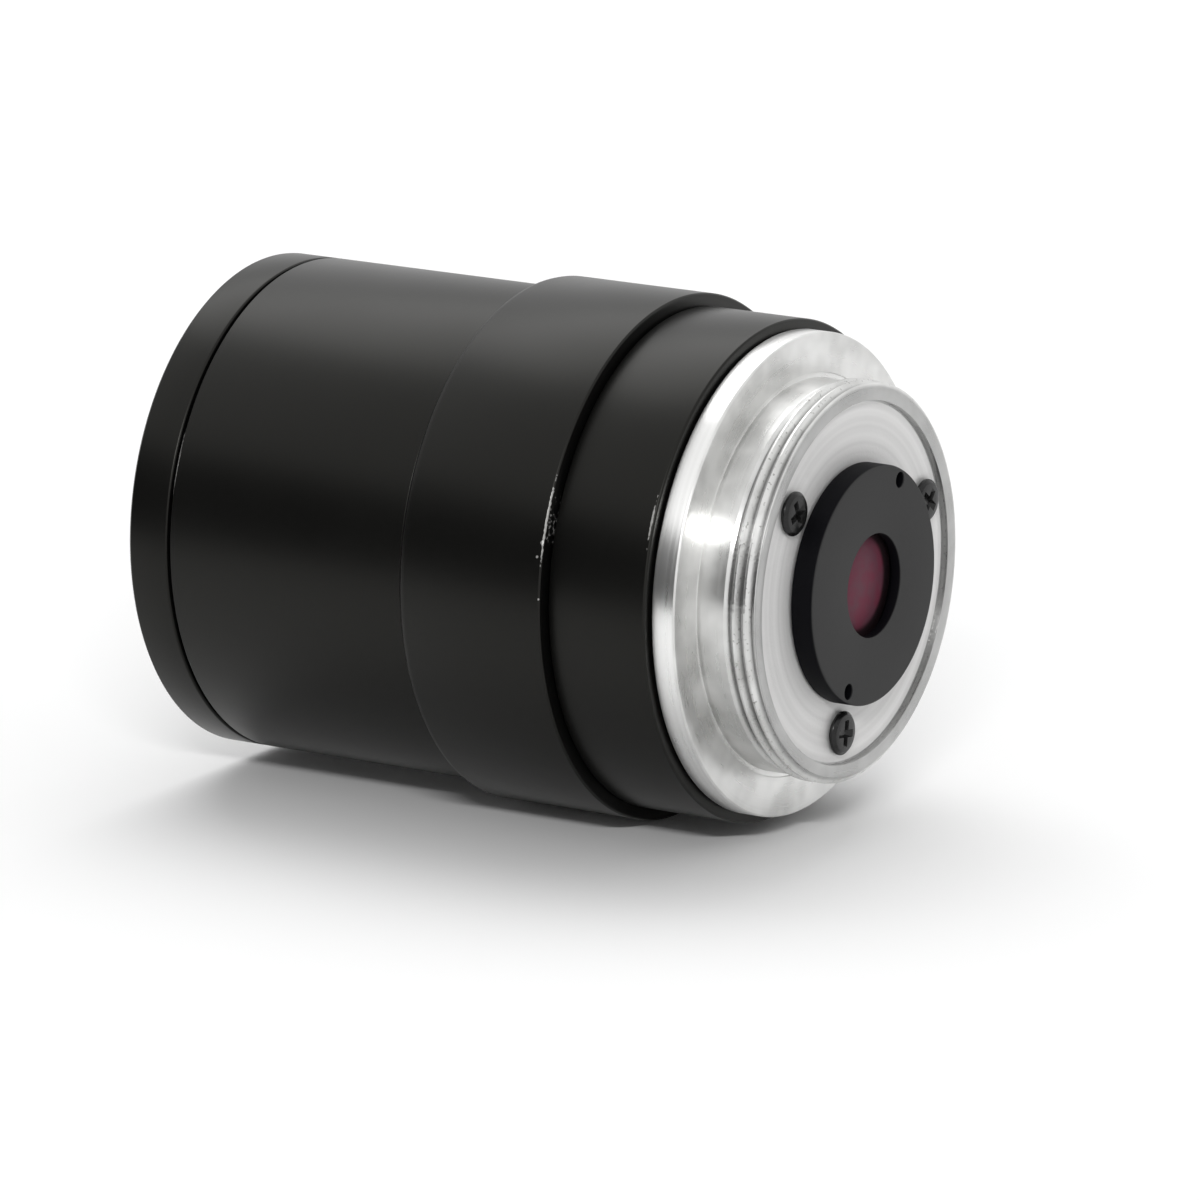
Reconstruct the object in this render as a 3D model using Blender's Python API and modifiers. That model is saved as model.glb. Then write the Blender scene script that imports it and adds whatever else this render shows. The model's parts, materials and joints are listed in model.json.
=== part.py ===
# Varifocal lens for a security camera, with focus, zoom and iris rings and a screw mount.
# The lens stands on its front rim. Z is the optical axis and runs from the front rim to the mount.
# All sizes are in metres and all angles in degrees. An angle is counted from +X towards +Y.
import bpy
import bmesh
from math import asin, cos, degrees, pi, radians, sin, sqrt
from mathutils import Matrix, Vector

# Clearances
RUNNING_GAP = 0.0003       # between pieces that turn or slide on one another
SEAT_GAP = 0.0002          # between a piece and the seat it is screwed down on
RING_SEAM = 0.00012        # seen between one outer ring and the next
UNION_OFFSET = 0.00003     # keeps the faces of two joined shapes from lying on one another

# Fixed barrel that carries everything. Its radius sets those of the rings and of its bores.
BARREL_RADIUS = 0.0136
FRONT_BORE_WALL = 0.0012   # round the front group and the iris unit
REAR_BORE_WALL = 0.0020    # round the zoom group
NOSE_STEP = 0.0005         # from the barrel's outside down to the threaded nose for the rim ring
RIB_HEIGHT = 0.0013        # rib between focus and zoom ring
RIB_WIDTH = 0.0010
LEDGE_DEPTH = 0.0007       # from the rib's front to the ledge that carries the iris unit
WEB_CLEARANCE = 0.0005     # behind the zoom group at its rear end

# Outer rings, from the front rim to the mount. A wall is counted from a ring's bore.
FOCUS_RING_WALL = 0.00205
ZOOM_RING_WALL = 0.0029
IRIS_RING_WALL = 0.00208
RIM_LENGTH = 0.00296
RIM_LIP = 0.0009
FOCUS_LENGTH = 0.0177
ZOOM_LENGTH = 0.01052
ZOOM_SHOULDER = 0.0006     # radius of the rounded front shoulder
IRIS_RING_LENGTH = 0.00696
EDGE_BREAK = 0.0002        # small chamfer on turned edges

# Screw mount, 1 inch across the thread
THREAD_RADIUS = 0.0127
THREAD_LENGTH = 0.0020
THREAD_RELIEF = 0.00025    # the neck before the thread is this much smaller in radius
NECK_LENGTH = 0.0020
UNDERCUT_WIDTH = 0.00035   # fine groove in the seat at the neck's foot
UNDERCUT_DEPTH = 0.00012
SEAT_WIDTH = 0.00265       # from the thread's radius to the flange's
FLANGE_THICKNESS = 0.00164
RECESS_WALL = 0.0012
RECESS_DEPTH = 0.00045
MOUNT_FLOOR = 0.0025
MOUNT_WALL = 0.0014        # between the thread's root and the cavity for the barrel's spigot

# Mount screws
SCREW_COUNT = 3
SCREW_INSET = 0.0020       # from the recess's wall to the middle of a screw
SCREW_START = 7.8
SCREW_HEAD_RADIUS = 0.0014
SCREW_HEAD_HEIGHT = 0.0004
SCREW_SHANK_RADIUS = 0.0008
SCREW_LENGTH = 0.0050
CROSS_LENGTH = 0.0016
CROSS_WIDTH = 0.0003
CROSS_DEPTH = 0.00025
CROSS_TURN = 30.0          # from one screw's cross to the next

# Rear cap, which holds the rear glass
CAP_HEIGHT = 0.00154
CAP_CLEARANCE = 0.0005     # from its rim to the screws' heads
CAP_HOLE_RADIUS = 0.0033
CAP_LIP = 0.0007
CAP_NECK_RADIUS = 0.0053
CAP_NECK_LENGTH = 0.0038
SPANNER_HOLE_RADIUS = 0.00052
SPANNER_HOLE_INSET = 0.0007
SPANNER_HOLE_DEPTH = 0.0008
SPANNER_HOLE_START = 169.7
REAR_LOCK_HEIGHT = 0.0008
REAR_LOCK_WALL = 0.0007

# Focus motion: the front group moves forward as the focus ring turns
FOCUS_TURN = 100.0
FOCUS_TRAVEL = 0.0030
FOCUS_PIN_START = 34.0
FRONT_CELL_LENGTH = 0.0123
FRONT_CELL_PIN = 0.0030    # from the cell's rear end to its pins
FRONT_CELL_WALL = 0.0008
FRONT_LAND = 0.0007        # how far the land between two bores stands in
FRONT_LOCK_WALL = 0.0011
FRONT_SPACER_WALL = 0.0009
FRONT_SPACER_HEIGHT = 0.00025

# Zoom motion: the rear group moves forward as the zoom ring turns
ZOOM_TURN = 70.0
ZOOM_TRAVEL = 0.0050
ZOOM_PIN_START = 92.0
ZOOM_CELL_LENGTH = 0.0084
ZOOM_PAD_HEIGHT = 0.0010   # how far the guide pads stand out from the cell
ZOOM_CELL_WALL = 0.00240   # from the cell's outside to the bore of its first element
ZOOM_CELL_PIN = 0.0015     # from the cell's front end to its pins
ZOOM_PIN_INSET = 0.00222    # from the zoom ring's rear end to the pins at rest
ZOOM_PAD_ANGLE = 14.0      # half the width of each guide pad
ZOOM_LAND = 0.0003
ZOOM_LAND_HEIGHT = 0.0005
ZOOM_LOCK_HEIGHT = 0.0019
ZOOM_LOCK_LIP = 0.00045
ZOOM_LOCK_OVERHANG = 0.0009

# Lens elements. A vertex is counted from the front end of the element's cell. A curve is the
# radius of a surface, positive where the surface bends to the rear. A clear radius leaves a
# flat ring outside a hollow surface. The front element fills its cell and follows its radius.
FRONT_LENS_1 = dict(vertex=0.0005, front_curve=0.040, thickness=0.0012)
FRONT_LENS_1_FLAT = 0.0025
FRONT_LENS_1_HOLLOW = 1.53 # radius of its rear surface for each unit of clear radius
FRONT_LENS_2 = dict(front_curve=-0.030, rear_curve=0.016, thickness=0.0010, radius=0.0085,
                    clear_rear=0.0074)
FRONT_LENS_2_RIM = 0.00567 # from the cell's front end to the rim of its front surface
FRONT_LENS_3 = dict(vertex=0.0094, front_curve=0.015, rear_curve=0.060, thickness=0.0020,
                    radius=0.0070)
REAR_LENS = dict(vertex=0.0, front_curve=0.060, rear_curve=-0.025, thickness=0.0018,
                 radius=0.0040)

# Elements of the zoom cell. Their radii follow the cell, so a bend is the radius of a surface for
# each unit of the element's own radius, and a flat is the width of the ring outside the surface.
ZOOM_LENS_1 = dict(vertex=0.0003, front_bend=2.9, rear_bend=-4.5)
ZOOM_LENS_1_RIM = 0.0004   # thickness at its rim
ZOOM_LENS_2 = dict(vertex=0.0043, front_bend=-2.94, rear_bend=2.65, thickness=0.0009,
                   front_flat=0.0006, rear_flat=0.0008)
ZOOM_LENS_2_STEP = 0.0008  # from the radius of the element before it to its own
ZOOM_LENS_3 = dict(vertex=0.0058, front_bend=2.71, rear_bend=-4.07, thickness=0.0024)
ZOOM_LENS_3_STEP = 0.0009

# Cam pins
PIN_COUNT = 3
PIN_RADIUS = 0.0008
PIN_ROLLER_RADIUS = 0.00095
PIN_ROLLER_LENGTH = 0.0008
PIN_DEPTH = 0.0010         # into the cell
GROOVE_EASE = 0.00005      # a groove's entry is this much narrower and shallower than the groove

# Iris unit
BLADE_COUNT = 6
BLADE_TURN = 25.0
IRIS_TURN = 42.0
BLADE_THICKNESS = 0.00012
BLADE_PITCH = 0.0003
BLADE_WIDTH = 0.0029
BLADE_INSET = 0.0006       # from the circle of the drive pins to the blades' outer edge
BLADE_START = -8.0
BLADE_END = 96.0
BLADE_HEEL = 36.0          # where the outer edge leaves the lug of the drive pin
PIVOT_INSET = 0.0018       # from the iris unit's outside to the circle of the pivots
PIVOT_RADIUS = 0.0004
PIVOT_EYE = 0.00085        # radius of the lug round the pivot
PIVOT_EYE_START = 50.0
PIVOT_EYE_END = -110.0
DRIVE_INSET = 0.0008       # from the circle of the pivots to that of the drive pins
DRIVE_ANGLE = 15.0         # from a blade's pivot to its drive pin
DRIVE_PIN_RADIUS = 0.00035
DRIVE_EYE = 0.00075
DRIVE_EYE_START = 80.0
DRIVE_SLOT_GAP = 0.00025
COVER_THICKNESS = 0.0003
ROTOR_THICKNESS = 0.0005
ROTOR_MARGIN = 0.0012      # from the open aperture to the rotor's bore
WINDOW_MARGIN = 0.0006     # from the open aperture to the windows on both sides of the blades
HOUSING_FLOOR = 0.0008
HOUSING_WALL = 0.0004
LOCK_THICKNESS = 0.0006
LOCK_WALL = 0.0012
ARM_ANGLE = 131.0          # middle of the rotor's arm at rest
ARM_WIDTH = 9.0            # half its width
ARM_THICKNESS = 0.0007
ARM_PIN_RADIUS = 0.00065
ARM_PIN_INSET = 0.00306     # from the iris ring's front to the arm's pin
ARM_PIN_DEPTH = 0.0011     # into the iris ring
ARM_END = 0.0014           # beyond the pin

# Facets round a full turn
OUTER_STEPS = 40
INNER_STEPS = 28
LENS_STEPS = 20
PIN_STEPS = 10
SCREW_STEPS = 14
GROOVE_STEPS = 5
END_STEPS = 4              # in the half of a round groove end
LENS_SHARES = (0.0, 0.55, 1.0)
SMOOTH_ANGLE = 35.0        # edges flatter than this are shaded smooth
MERGE_DISTANCE = 0.00001

# Places along the axis that follow from the sizes above
z_focus = RIM_LENGTH + RING_SEAM
z_focus_end = z_focus + FOCUS_LENGTH
z_zoom = z_focus_end + RING_SEAM
z_zoom_end = z_zoom + ZOOM_LENGTH
z_iris_ring = z_zoom_end + RING_SEAM
z_iris_ring_end = z_iris_ring + IRIS_RING_LENGTH
z_flange = z_iris_ring_end + RING_SEAM
z_neck = z_flange + FLANGE_THICKNESS
z_thread = z_neck + NECK_LENGTH
z_mount_end = z_thread + THREAD_LENGTH
z_recess = z_mount_end - RECESS_DEPTH
z_cavity = z_recess - MOUNT_FLOOR
z_cap = z_recess + SEAT_GAP
z_cap_end = z_cap + CAP_HEIGHT
z_ledge = z_zoom + LEDGE_DEPTH
z_housing_end = z_ledge - RUNNING_GAP
z_rotor = z_housing_end - HOUSING_FLOOR - RUNNING_GAP - ROTOR_THICKNESS
z_cover_end = z_rotor - BLADE_COUNT * BLADE_PITCH - RUNNING_GAP
z_cover = z_cover_end - COVER_THICKNESS
z_lock = z_cover - SEAT_GAP - LOCK_THICKNESS
z_front_cell_end = z_lock - RUNNING_GAP
z_front_cell = z_front_cell_end - FRONT_CELL_LENGTH
z_focus_pin = z_front_cell_end - FRONT_CELL_PIN
z_zoom_pin = z_zoom_end - ZOOM_PIN_INSET
z_zoom_cell = z_zoom_pin - ZOOM_CELL_PIN
z_zoom_cell_end = z_zoom_cell + ZOOM_CELL_LENGTH
z_web = z_zoom_cell_end + WEB_CLEARANCE
z_arm_pin = z_iris_ring + ARM_PIN_INSET

# Radii that follow from the sizes above
ring_bore = BARREL_RADIUS + RUNNING_GAP
front_radius = ring_bore + FOCUS_RING_WALL
zoom_radius = ring_bore + ZOOM_RING_WALL
iris_ring_radius = ring_bore + IRIS_RING_WALL
rib_radius = BARREL_RADIUS + RIB_HEIGHT
nose_radius = BARREL_RADIUS - NOSE_STEP
front_bore = BARREL_RADIUS - FRONT_BORE_WALL
rear_bore = BARREL_RADIUS - REAR_BORE_WALL
front_cell_radius = front_bore - RUNNING_GAP
iris_radius = front_bore - RUNNING_GAP
pad_radius = rear_bore - RUNNING_GAP
zoom_cell_radius = pad_radius - ZOOM_PAD_HEIGHT
neck_radius = THREAD_RADIUS - THREAD_RELIEF
flange_radius = THREAD_RADIUS + SEAT_WIDTH
recess_radius = THREAD_RADIUS - RECESS_WALL
cavity_radius = THREAD_RADIUS - MOUNT_WALL
spigot_radius = cavity_radius - RUNNING_GAP
screw_circle = recess_radius - SCREW_INSET
cap_radius = screw_circle - SCREW_HEAD_RADIUS - CAP_CLEARANCE
spanner_hole_circle = cap_radius - SPANNER_HOLE_INSET
pivot_circle = iris_radius - PIVOT_INSET
drive_circle = pivot_circle - DRIVE_INSET
blade_outer = drive_circle - BLADE_INSET
blade_inner = blade_outer - BLADE_WIDTH
rotor_inner = blade_inner + ROTOR_MARGIN
iris_window = blade_inner + WINDOW_MARGIN
groove_radius = ring_bore + PIN_ROLLER_LENGTH + RUNNING_GAP
arm_inner = pad_radius - ARM_THICKNESS
cap_bore = CAP_NECK_RADIUS + RUNNING_GAP
glass_bore = REAR_LENS["radius"] + RUNNING_GAP
FRONT_LENS_1["radius"] = front_cell_radius - FRONT_CELL_WALL - RUNNING_GAP
FRONT_LENS_1["clear_rear"] = FRONT_LENS_1["radius"] - FRONT_LENS_1_FLAT
FRONT_LENS_1["rear_curve"] = FRONT_LENS_1_HOLLOW * FRONT_LENS_1["clear_rear"]


def sag(curvature_radius, r):
    """Depth of a spherical surface at the radius r. It is positive where it bends to the rear."""
    depth = abs(curvature_radius) - sqrt(curvature_radius ** 2 - r ** 2)
    return depth if curvature_radius > 0 else -depth


def follow(element, radius):
    """Gives an element its radius, with the curves and clear radii that go with it."""
    element["radius"] = radius
    for side in ("front", "rear"):
        element[side + "_curve"] = element[side + "_bend"] * radius
        element["clear_" + side] = radius - element.get(side + "_flat", 0.0)


FRONT_LENS_2["vertex"] = FRONT_LENS_2_RIM - sag(FRONT_LENS_2["front_curve"], FRONT_LENS_2["radius"])
follow(ZOOM_LENS_1, zoom_cell_radius - ZOOM_CELL_WALL - RUNNING_GAP)
follow(ZOOM_LENS_2, ZOOM_LENS_1["radius"] - ZOOM_LENS_2_STEP)
follow(ZOOM_LENS_3, ZOOM_LENS_2["radius"] - ZOOM_LENS_3_STEP)
ZOOM_LENS_1["thickness"] = (ZOOM_LENS_1_RIM + sag(ZOOM_LENS_1["front_curve"], ZOOM_LENS_1["radius"])
                            - sag(ZOOM_LENS_1["rear_curve"], ZOOM_LENS_1["radius"]))

for old in list(bpy.data.objects):
    bpy.data.objects.remove(old)


def new_collection(name):
    collection = bpy.data.collections.new(name)
    bpy.context.scene.collection.children.link(collection)
    return collection


parts = new_collection("varifocal_lens")
cutters = new_collection("cutters")


def finish(name, colour, roughness, metallic=0.0, transmission=0.0):
    material = bpy.data.materials.new(name)
    material.use_nodes = True
    shader = material.node_tree.nodes["Principled BSDF"]
    shader.inputs["Base Color"].default_value = (*colour, 1.0)
    shader.inputs["Roughness"].default_value = roughness
    shader.inputs["Metallic"].default_value = metallic
    shader.inputs["Transmission Weight"].default_value = transmission
    material.diffuse_color = (*colour, 1.0)
    return material


satin_black = finish("satin_black", (0.035, 0.034, 0.033), 0.42, 0.3)
matt_black = finish("matt_black", (0.03, 0.03, 0.03), 0.75)
cap_black = finish("cap_black", (0.065, 0.066, 0.066), 0.6)
turned_aluminium = finish("turned_aluminium", (0.80, 0.80, 0.79), 0.28, 1.0)
black_screw = finish("black_screw", (0.03, 0.03, 0.03), 0.35, 0.6)
steel = finish("steel", (0.62, 0.62, 0.60), 0.3, 1.0)
blade_black = finish("blade_black", (0.02, 0.02, 0.02), 0.6, 0.2)
clear_glass = finish("clear_glass", (0.85, 0.90, 0.88), 0.03, 0.0, 0.9)
coated_glass = finish("coated_glass", (0.28, 0.05, 0.12), 0.05, 0.0, 0.5)


def polar(radius, angle):
    return Vector((radius * cos(radians(angle)), radius * sin(radians(angle))))


def add_object(name, mesh, material=None, collection=parts):
    item = bpy.data.objects.new(name, mesh)
    collection.objects.link(item)
    if material:
        mesh.materials.append(material)
    if collection is cutters:
        item.hide_render = True
        item.display_type = "WIRE"
    return item


def add_screw(item, steps):
    screw = item.modifiers.new("Turn", "SCREW")
    screw.axis = "Z"
    screw.steps = steps
    screw.render_steps = steps
    screw.use_merge_vertices = True
    screw.merge_threshold = MERGE_DISTANCE
    screw.use_smooth_shade = False


def signed_area(outline):
    area = 0.0
    for (x0, y0), (x1, y1) in zip(outline, outline[1:] + outline[:1]):
        area += x0 * y1 - x1 * y0
    return area / 2


def turned(name, outline, material, steps=INNER_STEPS, collection=parts):
    """A solid of revolution from a closed outline of (radius, height) points."""
    if signed_area(outline) > 0:
        outline = outline[::-1]
    mesh = bpy.data.meshes.new(name)
    count = len(outline)
    edges = [(i, (i + 1) % count) for i in range(count)]
    if outline[0][0] == 0 and outline[-1][0] == 0:
        edges.pop()
    mesh.from_pydata([(r, 0, z) for r, z in outline], edges, [])
    item = add_object(name, mesh, material, collection)
    add_screw(item, steps)
    return item


def shade_round(item):
    for polygon in item.data.polygons:
        polygon.use_smooth = True
    item.data.set_sharp_from_angle(angle=radians(SMOOTH_ANGLE))


def place(item, matrix):
    item.matrix_world = matrix @ item.matrix_world


def radial(angle, height):
    """Local Z points outwards from the axis and local Y along the axis."""
    outwards = Matrix.Rotation(radians(angle), 4, "Z")
    stand = Matrix(((0, 0, 1, 0), (1, 0, 0, 0), (0, 1, 0, 0), (0, 0, 0, 1)))
    return Matrix.Translation((0, 0, height)) @ outwards @ stand


def plate(name, outline, bottom, top, material=None, collection=parts):
    """A flat outline of (x, y) points, filled and extruded from bottom to top."""
    curve = bpy.data.curves.new(name, "CURVE")
    curve.dimensions = "2D"
    curve.fill_mode = "BOTH"
    curve.extrude = (top - bottom) / 2
    spline = curve.splines.new("POLY")
    spline.points.add(len(outline) - 1)
    for point, (x, y) in zip(spline.points, outline):
        point.co = (x, y, 0, 1)
    spline.use_cyclic_u = True
    drawn = bpy.data.objects.new(name + "_curve", curve)
    bpy.context.scene.collection.objects.link(drawn)
    drawn.location.z = (top + bottom) / 2
    bpy.context.view_layer.update()
    solid = drawn.evaluated_get(bpy.context.evaluated_depsgraph_get())
    mesh = bpy.data.meshes.new_from_object(solid)
    mesh.name = name
    shape = bmesh.new()
    shape.from_mesh(mesh)
    bmesh.ops.remove_doubles(shape, verts=shape.verts, dist=MERGE_DISTANCE / 10)
    bmesh.ops.recalc_face_normals(shape, faces=shape.faces)
    shape.to_mesh(mesh)
    shape.free()
    item = add_object(name, mesh, material, collection)
    item.matrix_world = drawn.matrix_world.copy()
    bpy.data.objects.remove(drawn)
    return item


def round_bar(name, radius, bottom, top, steps=PIN_STEPS, collection=cutters, material=None):
    mesh = bpy.data.meshes.new(name)
    shape = bmesh.new()
    bmesh.ops.create_cone(shape, cap_ends=True, segments=steps, radius1=radius, radius2=radius,
                          depth=top - bottom)
    bmesh.ops.translate(shape, verts=shape.verts, vec=(0, 0, (top + bottom) / 2))
    shape.to_mesh(mesh)
    shape.free()
    return add_object(name, mesh, material, collection)


def boolean(target, tool, operation="DIFFERENCE"):
    step = target.modifiers.new(tool.name, "BOOLEAN")
    step.operation = operation
    step.solver = "EXACT"
    step.object = tool


def arc(radius, first, last, steps):
    return [tuple(polar(radius, first + (last - first) * i / steps)) for i in range(steps + 1)]


def arc_about(centre, radius, first, last, steps):
    return [tuple(centre + Vector(spot)) for spot in arc(radius, first, last, steps)]


def sector(inner, outer, first, last, steps=8):
    """Part of a flat ring, between two angles."""
    return arc(outer, first, last, steps) + arc(inner, last, first, steps)


def stadium(length, half_width, steps=6):
    """A slot outline along Y with round ends, centred on the origin."""
    top = [(half_width * cos(pi * i / steps), length / 2 + half_width * sin(pi * i / steps))
           for i in range(steps + 1)]
    return top + [(-x, -y) for x, y in top]


def helical_groove(name, start, turn, height, travel, half_width, inner, outer):
    """A cutter for a cam groove: it climbs by travel over the turn and is round at both ends."""
    middle = (inner + outer) / 2
    rounding = [pi / 2 * i / END_STEPS for i in range(1, END_STEPS)]
    reach = [(-half_width * cos(a), half_width * sin(a)) for a in rounding]
    steps = GROOVE_STEPS
    length = middle * radians(abs(turn))
    stations = reach + [(length * i / steps, half_width) for i in range(steps + 1)]
    stations += [(length - along, width) for along, width in reversed(reach)]
    mesh = bpy.data.meshes.new(name)
    shape = bmesh.new()
    loops = []
    for along, width in stations:
        share = along / length
        z_middle = height + travel * share
        corners = []
        for r, z in ((inner, -width), (outer, -width), (outer, width), (inner, width)):
            x, y = polar(r, start + turn * share)
            corners.append(shape.verts.new((x, y, z_middle + z)))
        loops.append(corners)
    shape.faces.new(loops[0])
    shape.faces.new(loops[-1])
    for before, after in zip(loops, loops[1:]):
        for i in range(4):
            j = (i + 1) % 4
            shape.faces.new((before[i], before[j], after[j], after[i]))
    bmesh.ops.triangulate(shape, faces=shape.faces)
    bmesh.ops.recalc_face_normals(shape, faces=shape.faces)
    shape.to_mesh(mesh)
    shape.free()
    return add_object(name, mesh, None, cutters)


def cam_ring_cuts(ring, pin_angle, pin_height, turn, travel, entry_end):
    """Helical grooves in a ring's bore, each with a straight entry for its pin."""
    half_width = PIN_ROLLER_RADIUS + RUNNING_GAP
    narrow = half_width - GROOVE_EASE
    inner = BARREL_RADIUS
    overlap = half_width / 3
    entry_start = pin_height + (overlap if entry_end < pin_height else -overlap)
    half_length = abs(entry_end - entry_start) / 2
    outline = [(-narrow, -half_length), (narrow, -half_length), (narrow, half_length),
               (-narrow, half_length)]
    for i in range(PIN_COUNT):
        angle = pin_angle + 360 * i / PIN_COUNT
        label = f"{ring.name}_groove_{i + 1}"
        boolean(ring, helical_groove(label, angle, -turn, pin_height, -travel, half_width,
                                     inner, groove_radius))
        entry = plate(f"{label}_entry", outline, inner, groove_radius - GROOVE_EASE, None, cutters)
        place(entry, radial(angle, (entry_end + entry_start) / 2))
        boolean(ring, entry)


def pin_slots(barrel, name, pin_angle, pin_height, travel, inner, outer):
    """Straight slots that let the pins move along the axis and stop them from turning."""
    for i in range(PIN_COUNT):
        outline = stadium(travel, PIN_RADIUS + RUNNING_GAP)
        slot = plate(f"{name}_slot_{i + 1}", outline, inner, outer, None, cutters)
        place(slot, radial(pin_angle + 360 * i / PIN_COUNT, pin_height - travel / 2))
        boolean(barrel, slot)


def cam_pins(name, pin_angle, pin_height, cell_radius):
    """Shouldered pins: a shank from the cell through the barrel and a roller in the groove."""
    shoulder = (BARREL_RADIUS + ring_bore) / 2
    outline = [(0, cell_radius - PIN_DEPTH), (PIN_RADIUS, cell_radius - PIN_DEPTH),
               (PIN_RADIUS, shoulder), (PIN_ROLLER_RADIUS, shoulder),
               (PIN_ROLLER_RADIUS, ring_bore + PIN_ROLLER_LENGTH), (0, ring_bore + PIN_ROLLER_LENGTH)]
    for i in range(PIN_COUNT):
        pin = turned(f"{name}_{i + 1}", outline, steel, PIN_STEPS)
        place(pin, radial(pin_angle + 360 * i / PIN_COUNT, pin_height))
        shade_round(pin)


def pin_holes(cell, pin_angle, pin_height, cell_radius):
    """Blind holes in a cell for the shanks of its pins."""
    for i in range(PIN_COUNT):
        hole = round_bar(f"{cell.name}_pin_hole_{i + 1}", PIN_RADIUS + RUNNING_GAP,
                         cell_radius - PIN_DEPTH - RUNNING_GAP, cell_radius + RUNNING_GAP)
        place(hole, radial(pin_angle + 360 * i / PIN_COUNT, pin_height))
        boolean(cell, hole)


def rim_ring():
    bore = nose_radius + RUNNING_GAP
    lip = front_bore + SEAT_GAP
    outline = [(front_radius - EDGE_BREAK, 0), (front_radius, EDGE_BREAK),
               (front_radius, RIM_LENGTH - EDGE_BREAK / 2),
               (front_radius - EDGE_BREAK / 2, RIM_LENGTH), (bore, RIM_LENGTH), (bore, RIM_LIP),
               (lip, RIM_LIP), (lip, 0)]
    shade_round(turned("front_rim_ring", outline, satin_black, OUTER_STEPS))


def focus_ring():
    outline = [(ring_bore, z_focus), (front_radius - EDGE_BREAK, z_focus),
               (front_radius, z_focus + EDGE_BREAK), (front_radius, z_focus_end - EDGE_BREAK),
               (front_radius - EDGE_BREAK, z_focus_end), (ring_bore, z_focus_end)]
    ring = turned("focus_ring", outline, satin_black, OUTER_STEPS)
    cam_ring_cuts(ring, FOCUS_PIN_START, z_focus_pin, FOCUS_TURN, FOCUS_TRAVEL,
                  z_focus_end + RING_SEAM / 2)
    shade_round(ring)


def zoom_ring():
    half_break = EDGE_BREAK / 2
    corner = zoom_radius - ZOOM_SHOULDER
    shoulder = [(corner + ZOOM_SHOULDER * sin(a), z_zoom + ZOOM_SHOULDER * (1 - cos(a)))
                for a in (0, pi / 6, pi / 3, pi / 2)]
    relief = rib_radius + RUNNING_GAP
    relief_end = z_zoom + RIB_WIDTH + RUNNING_GAP
    outline = [(relief, z_zoom), *shoulder, (zoom_radius, z_zoom_end - half_break),
               (zoom_radius - half_break, z_zoom_end), (ring_bore, z_zoom_end),
               (ring_bore, relief_end), (relief, relief_end)]
    ring = turned("zoom_ring", outline, satin_black, OUTER_STEPS)
    cam_ring_cuts(ring, ZOOM_PIN_START, z_zoom_pin, ZOOM_TURN, ZOOM_TRAVEL, relief_end - SEAT_GAP)
    shade_round(ring)


def iris_ring():
    half_break = EDGE_BREAK / 2
    outline = [(ring_bore, z_iris_ring), (iris_ring_radius - half_break, z_iris_ring),
               (iris_ring_radius, z_iris_ring + half_break),
               (iris_ring_radius, z_iris_ring_end - half_break),
               (iris_ring_radius - half_break, z_iris_ring_end), (ring_bore, z_iris_ring_end)]
    ring = turned("iris_ring", outline, satin_black, OUTER_STEPS)
    hole = round_bar("iris_ring_pin_hole", ARM_PIN_RADIUS + RUNNING_GAP, BARREL_RADIUS,
                     ring_bore + ARM_PIN_DEPTH + RUNNING_GAP)
    place(hole, radial(ARM_ANGLE, z_arm_pin))
    boolean(ring, hole)
    shade_round(ring)


def iris_arm_pin():
    pin = round_bar("iris_arm_pin", ARM_PIN_RADIUS, arm_inner, ring_bore + ARM_PIN_DEPTH,
                    collection=parts, material=steel)
    place(pin, radial(ARM_ANGLE, z_arm_pin))
    shade_round(pin)


def screw_angles():
    return [SCREW_START + 360 * i / SCREW_COUNT for i in range(SCREW_COUNT)]


def main_barrel():
    z_end = z_flange - RUNNING_GAP
    z_spigot_end = z_cavity - SEAT_GAP
    outline = [(front_bore, RIM_LIP + RUNNING_GAP), (nose_radius, RIM_LIP + RUNNING_GAP),
               (nose_radius, z_focus), (BARREL_RADIUS, z_focus), (BARREL_RADIUS, z_zoom),
               (rib_radius, z_zoom), (rib_radius, z_zoom + RIB_WIDTH),
               (BARREL_RADIUS, z_zoom + RIB_WIDTH), (BARREL_RADIUS, z_end), (spigot_radius, z_end),
               (spigot_radius, z_spigot_end), (cap_bore, z_spigot_end), (cap_bore, z_web),
               (rear_bore, z_web), (rear_bore, z_ledge), (front_bore, z_ledge)]
    barrel = turned("main_barrel", outline, matt_black)
    inner = rear_bore - RUNNING_GAP
    outer = BARREL_RADIUS + RUNNING_GAP
    pin_slots(barrel, "focus_pin", FOCUS_PIN_START, z_focus_pin, FOCUS_TRAVEL, inner, outer)
    pin_slots(barrel, "zoom_pin", ZOOM_PIN_START, z_zoom_pin, ZOOM_TRAVEL, inner, outer)
    half_height = ARM_PIN_RADIUS + RUNNING_GAP
    margin = degrees(asin(half_height / rear_bore))
    window = plate("iris_pin_slot", sector(inner, outer, ARM_ANGLE - margin,
                                           ARM_ANGLE + IRIS_TURN + margin),
                   z_arm_pin - half_height, z_arm_pin + half_height, None, cutters)
    boolean(barrel, window)
    z_tip = z_recess + SEAT_GAP - SCREW_LENGTH
    for i, angle in enumerate(screw_angles()):
        hole = round_bar(f"barrel_screw_hole_{i + 1}", SCREW_SHANK_RADIUS + RUNNING_GAP,
                         z_tip - RUNNING_GAP, z_spigot_end + RUNNING_GAP)
        place(hole, Matrix.Translation((*polar(screw_circle, angle), 0)))
        boolean(barrel, hole)
    shade_round(barrel)


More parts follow.
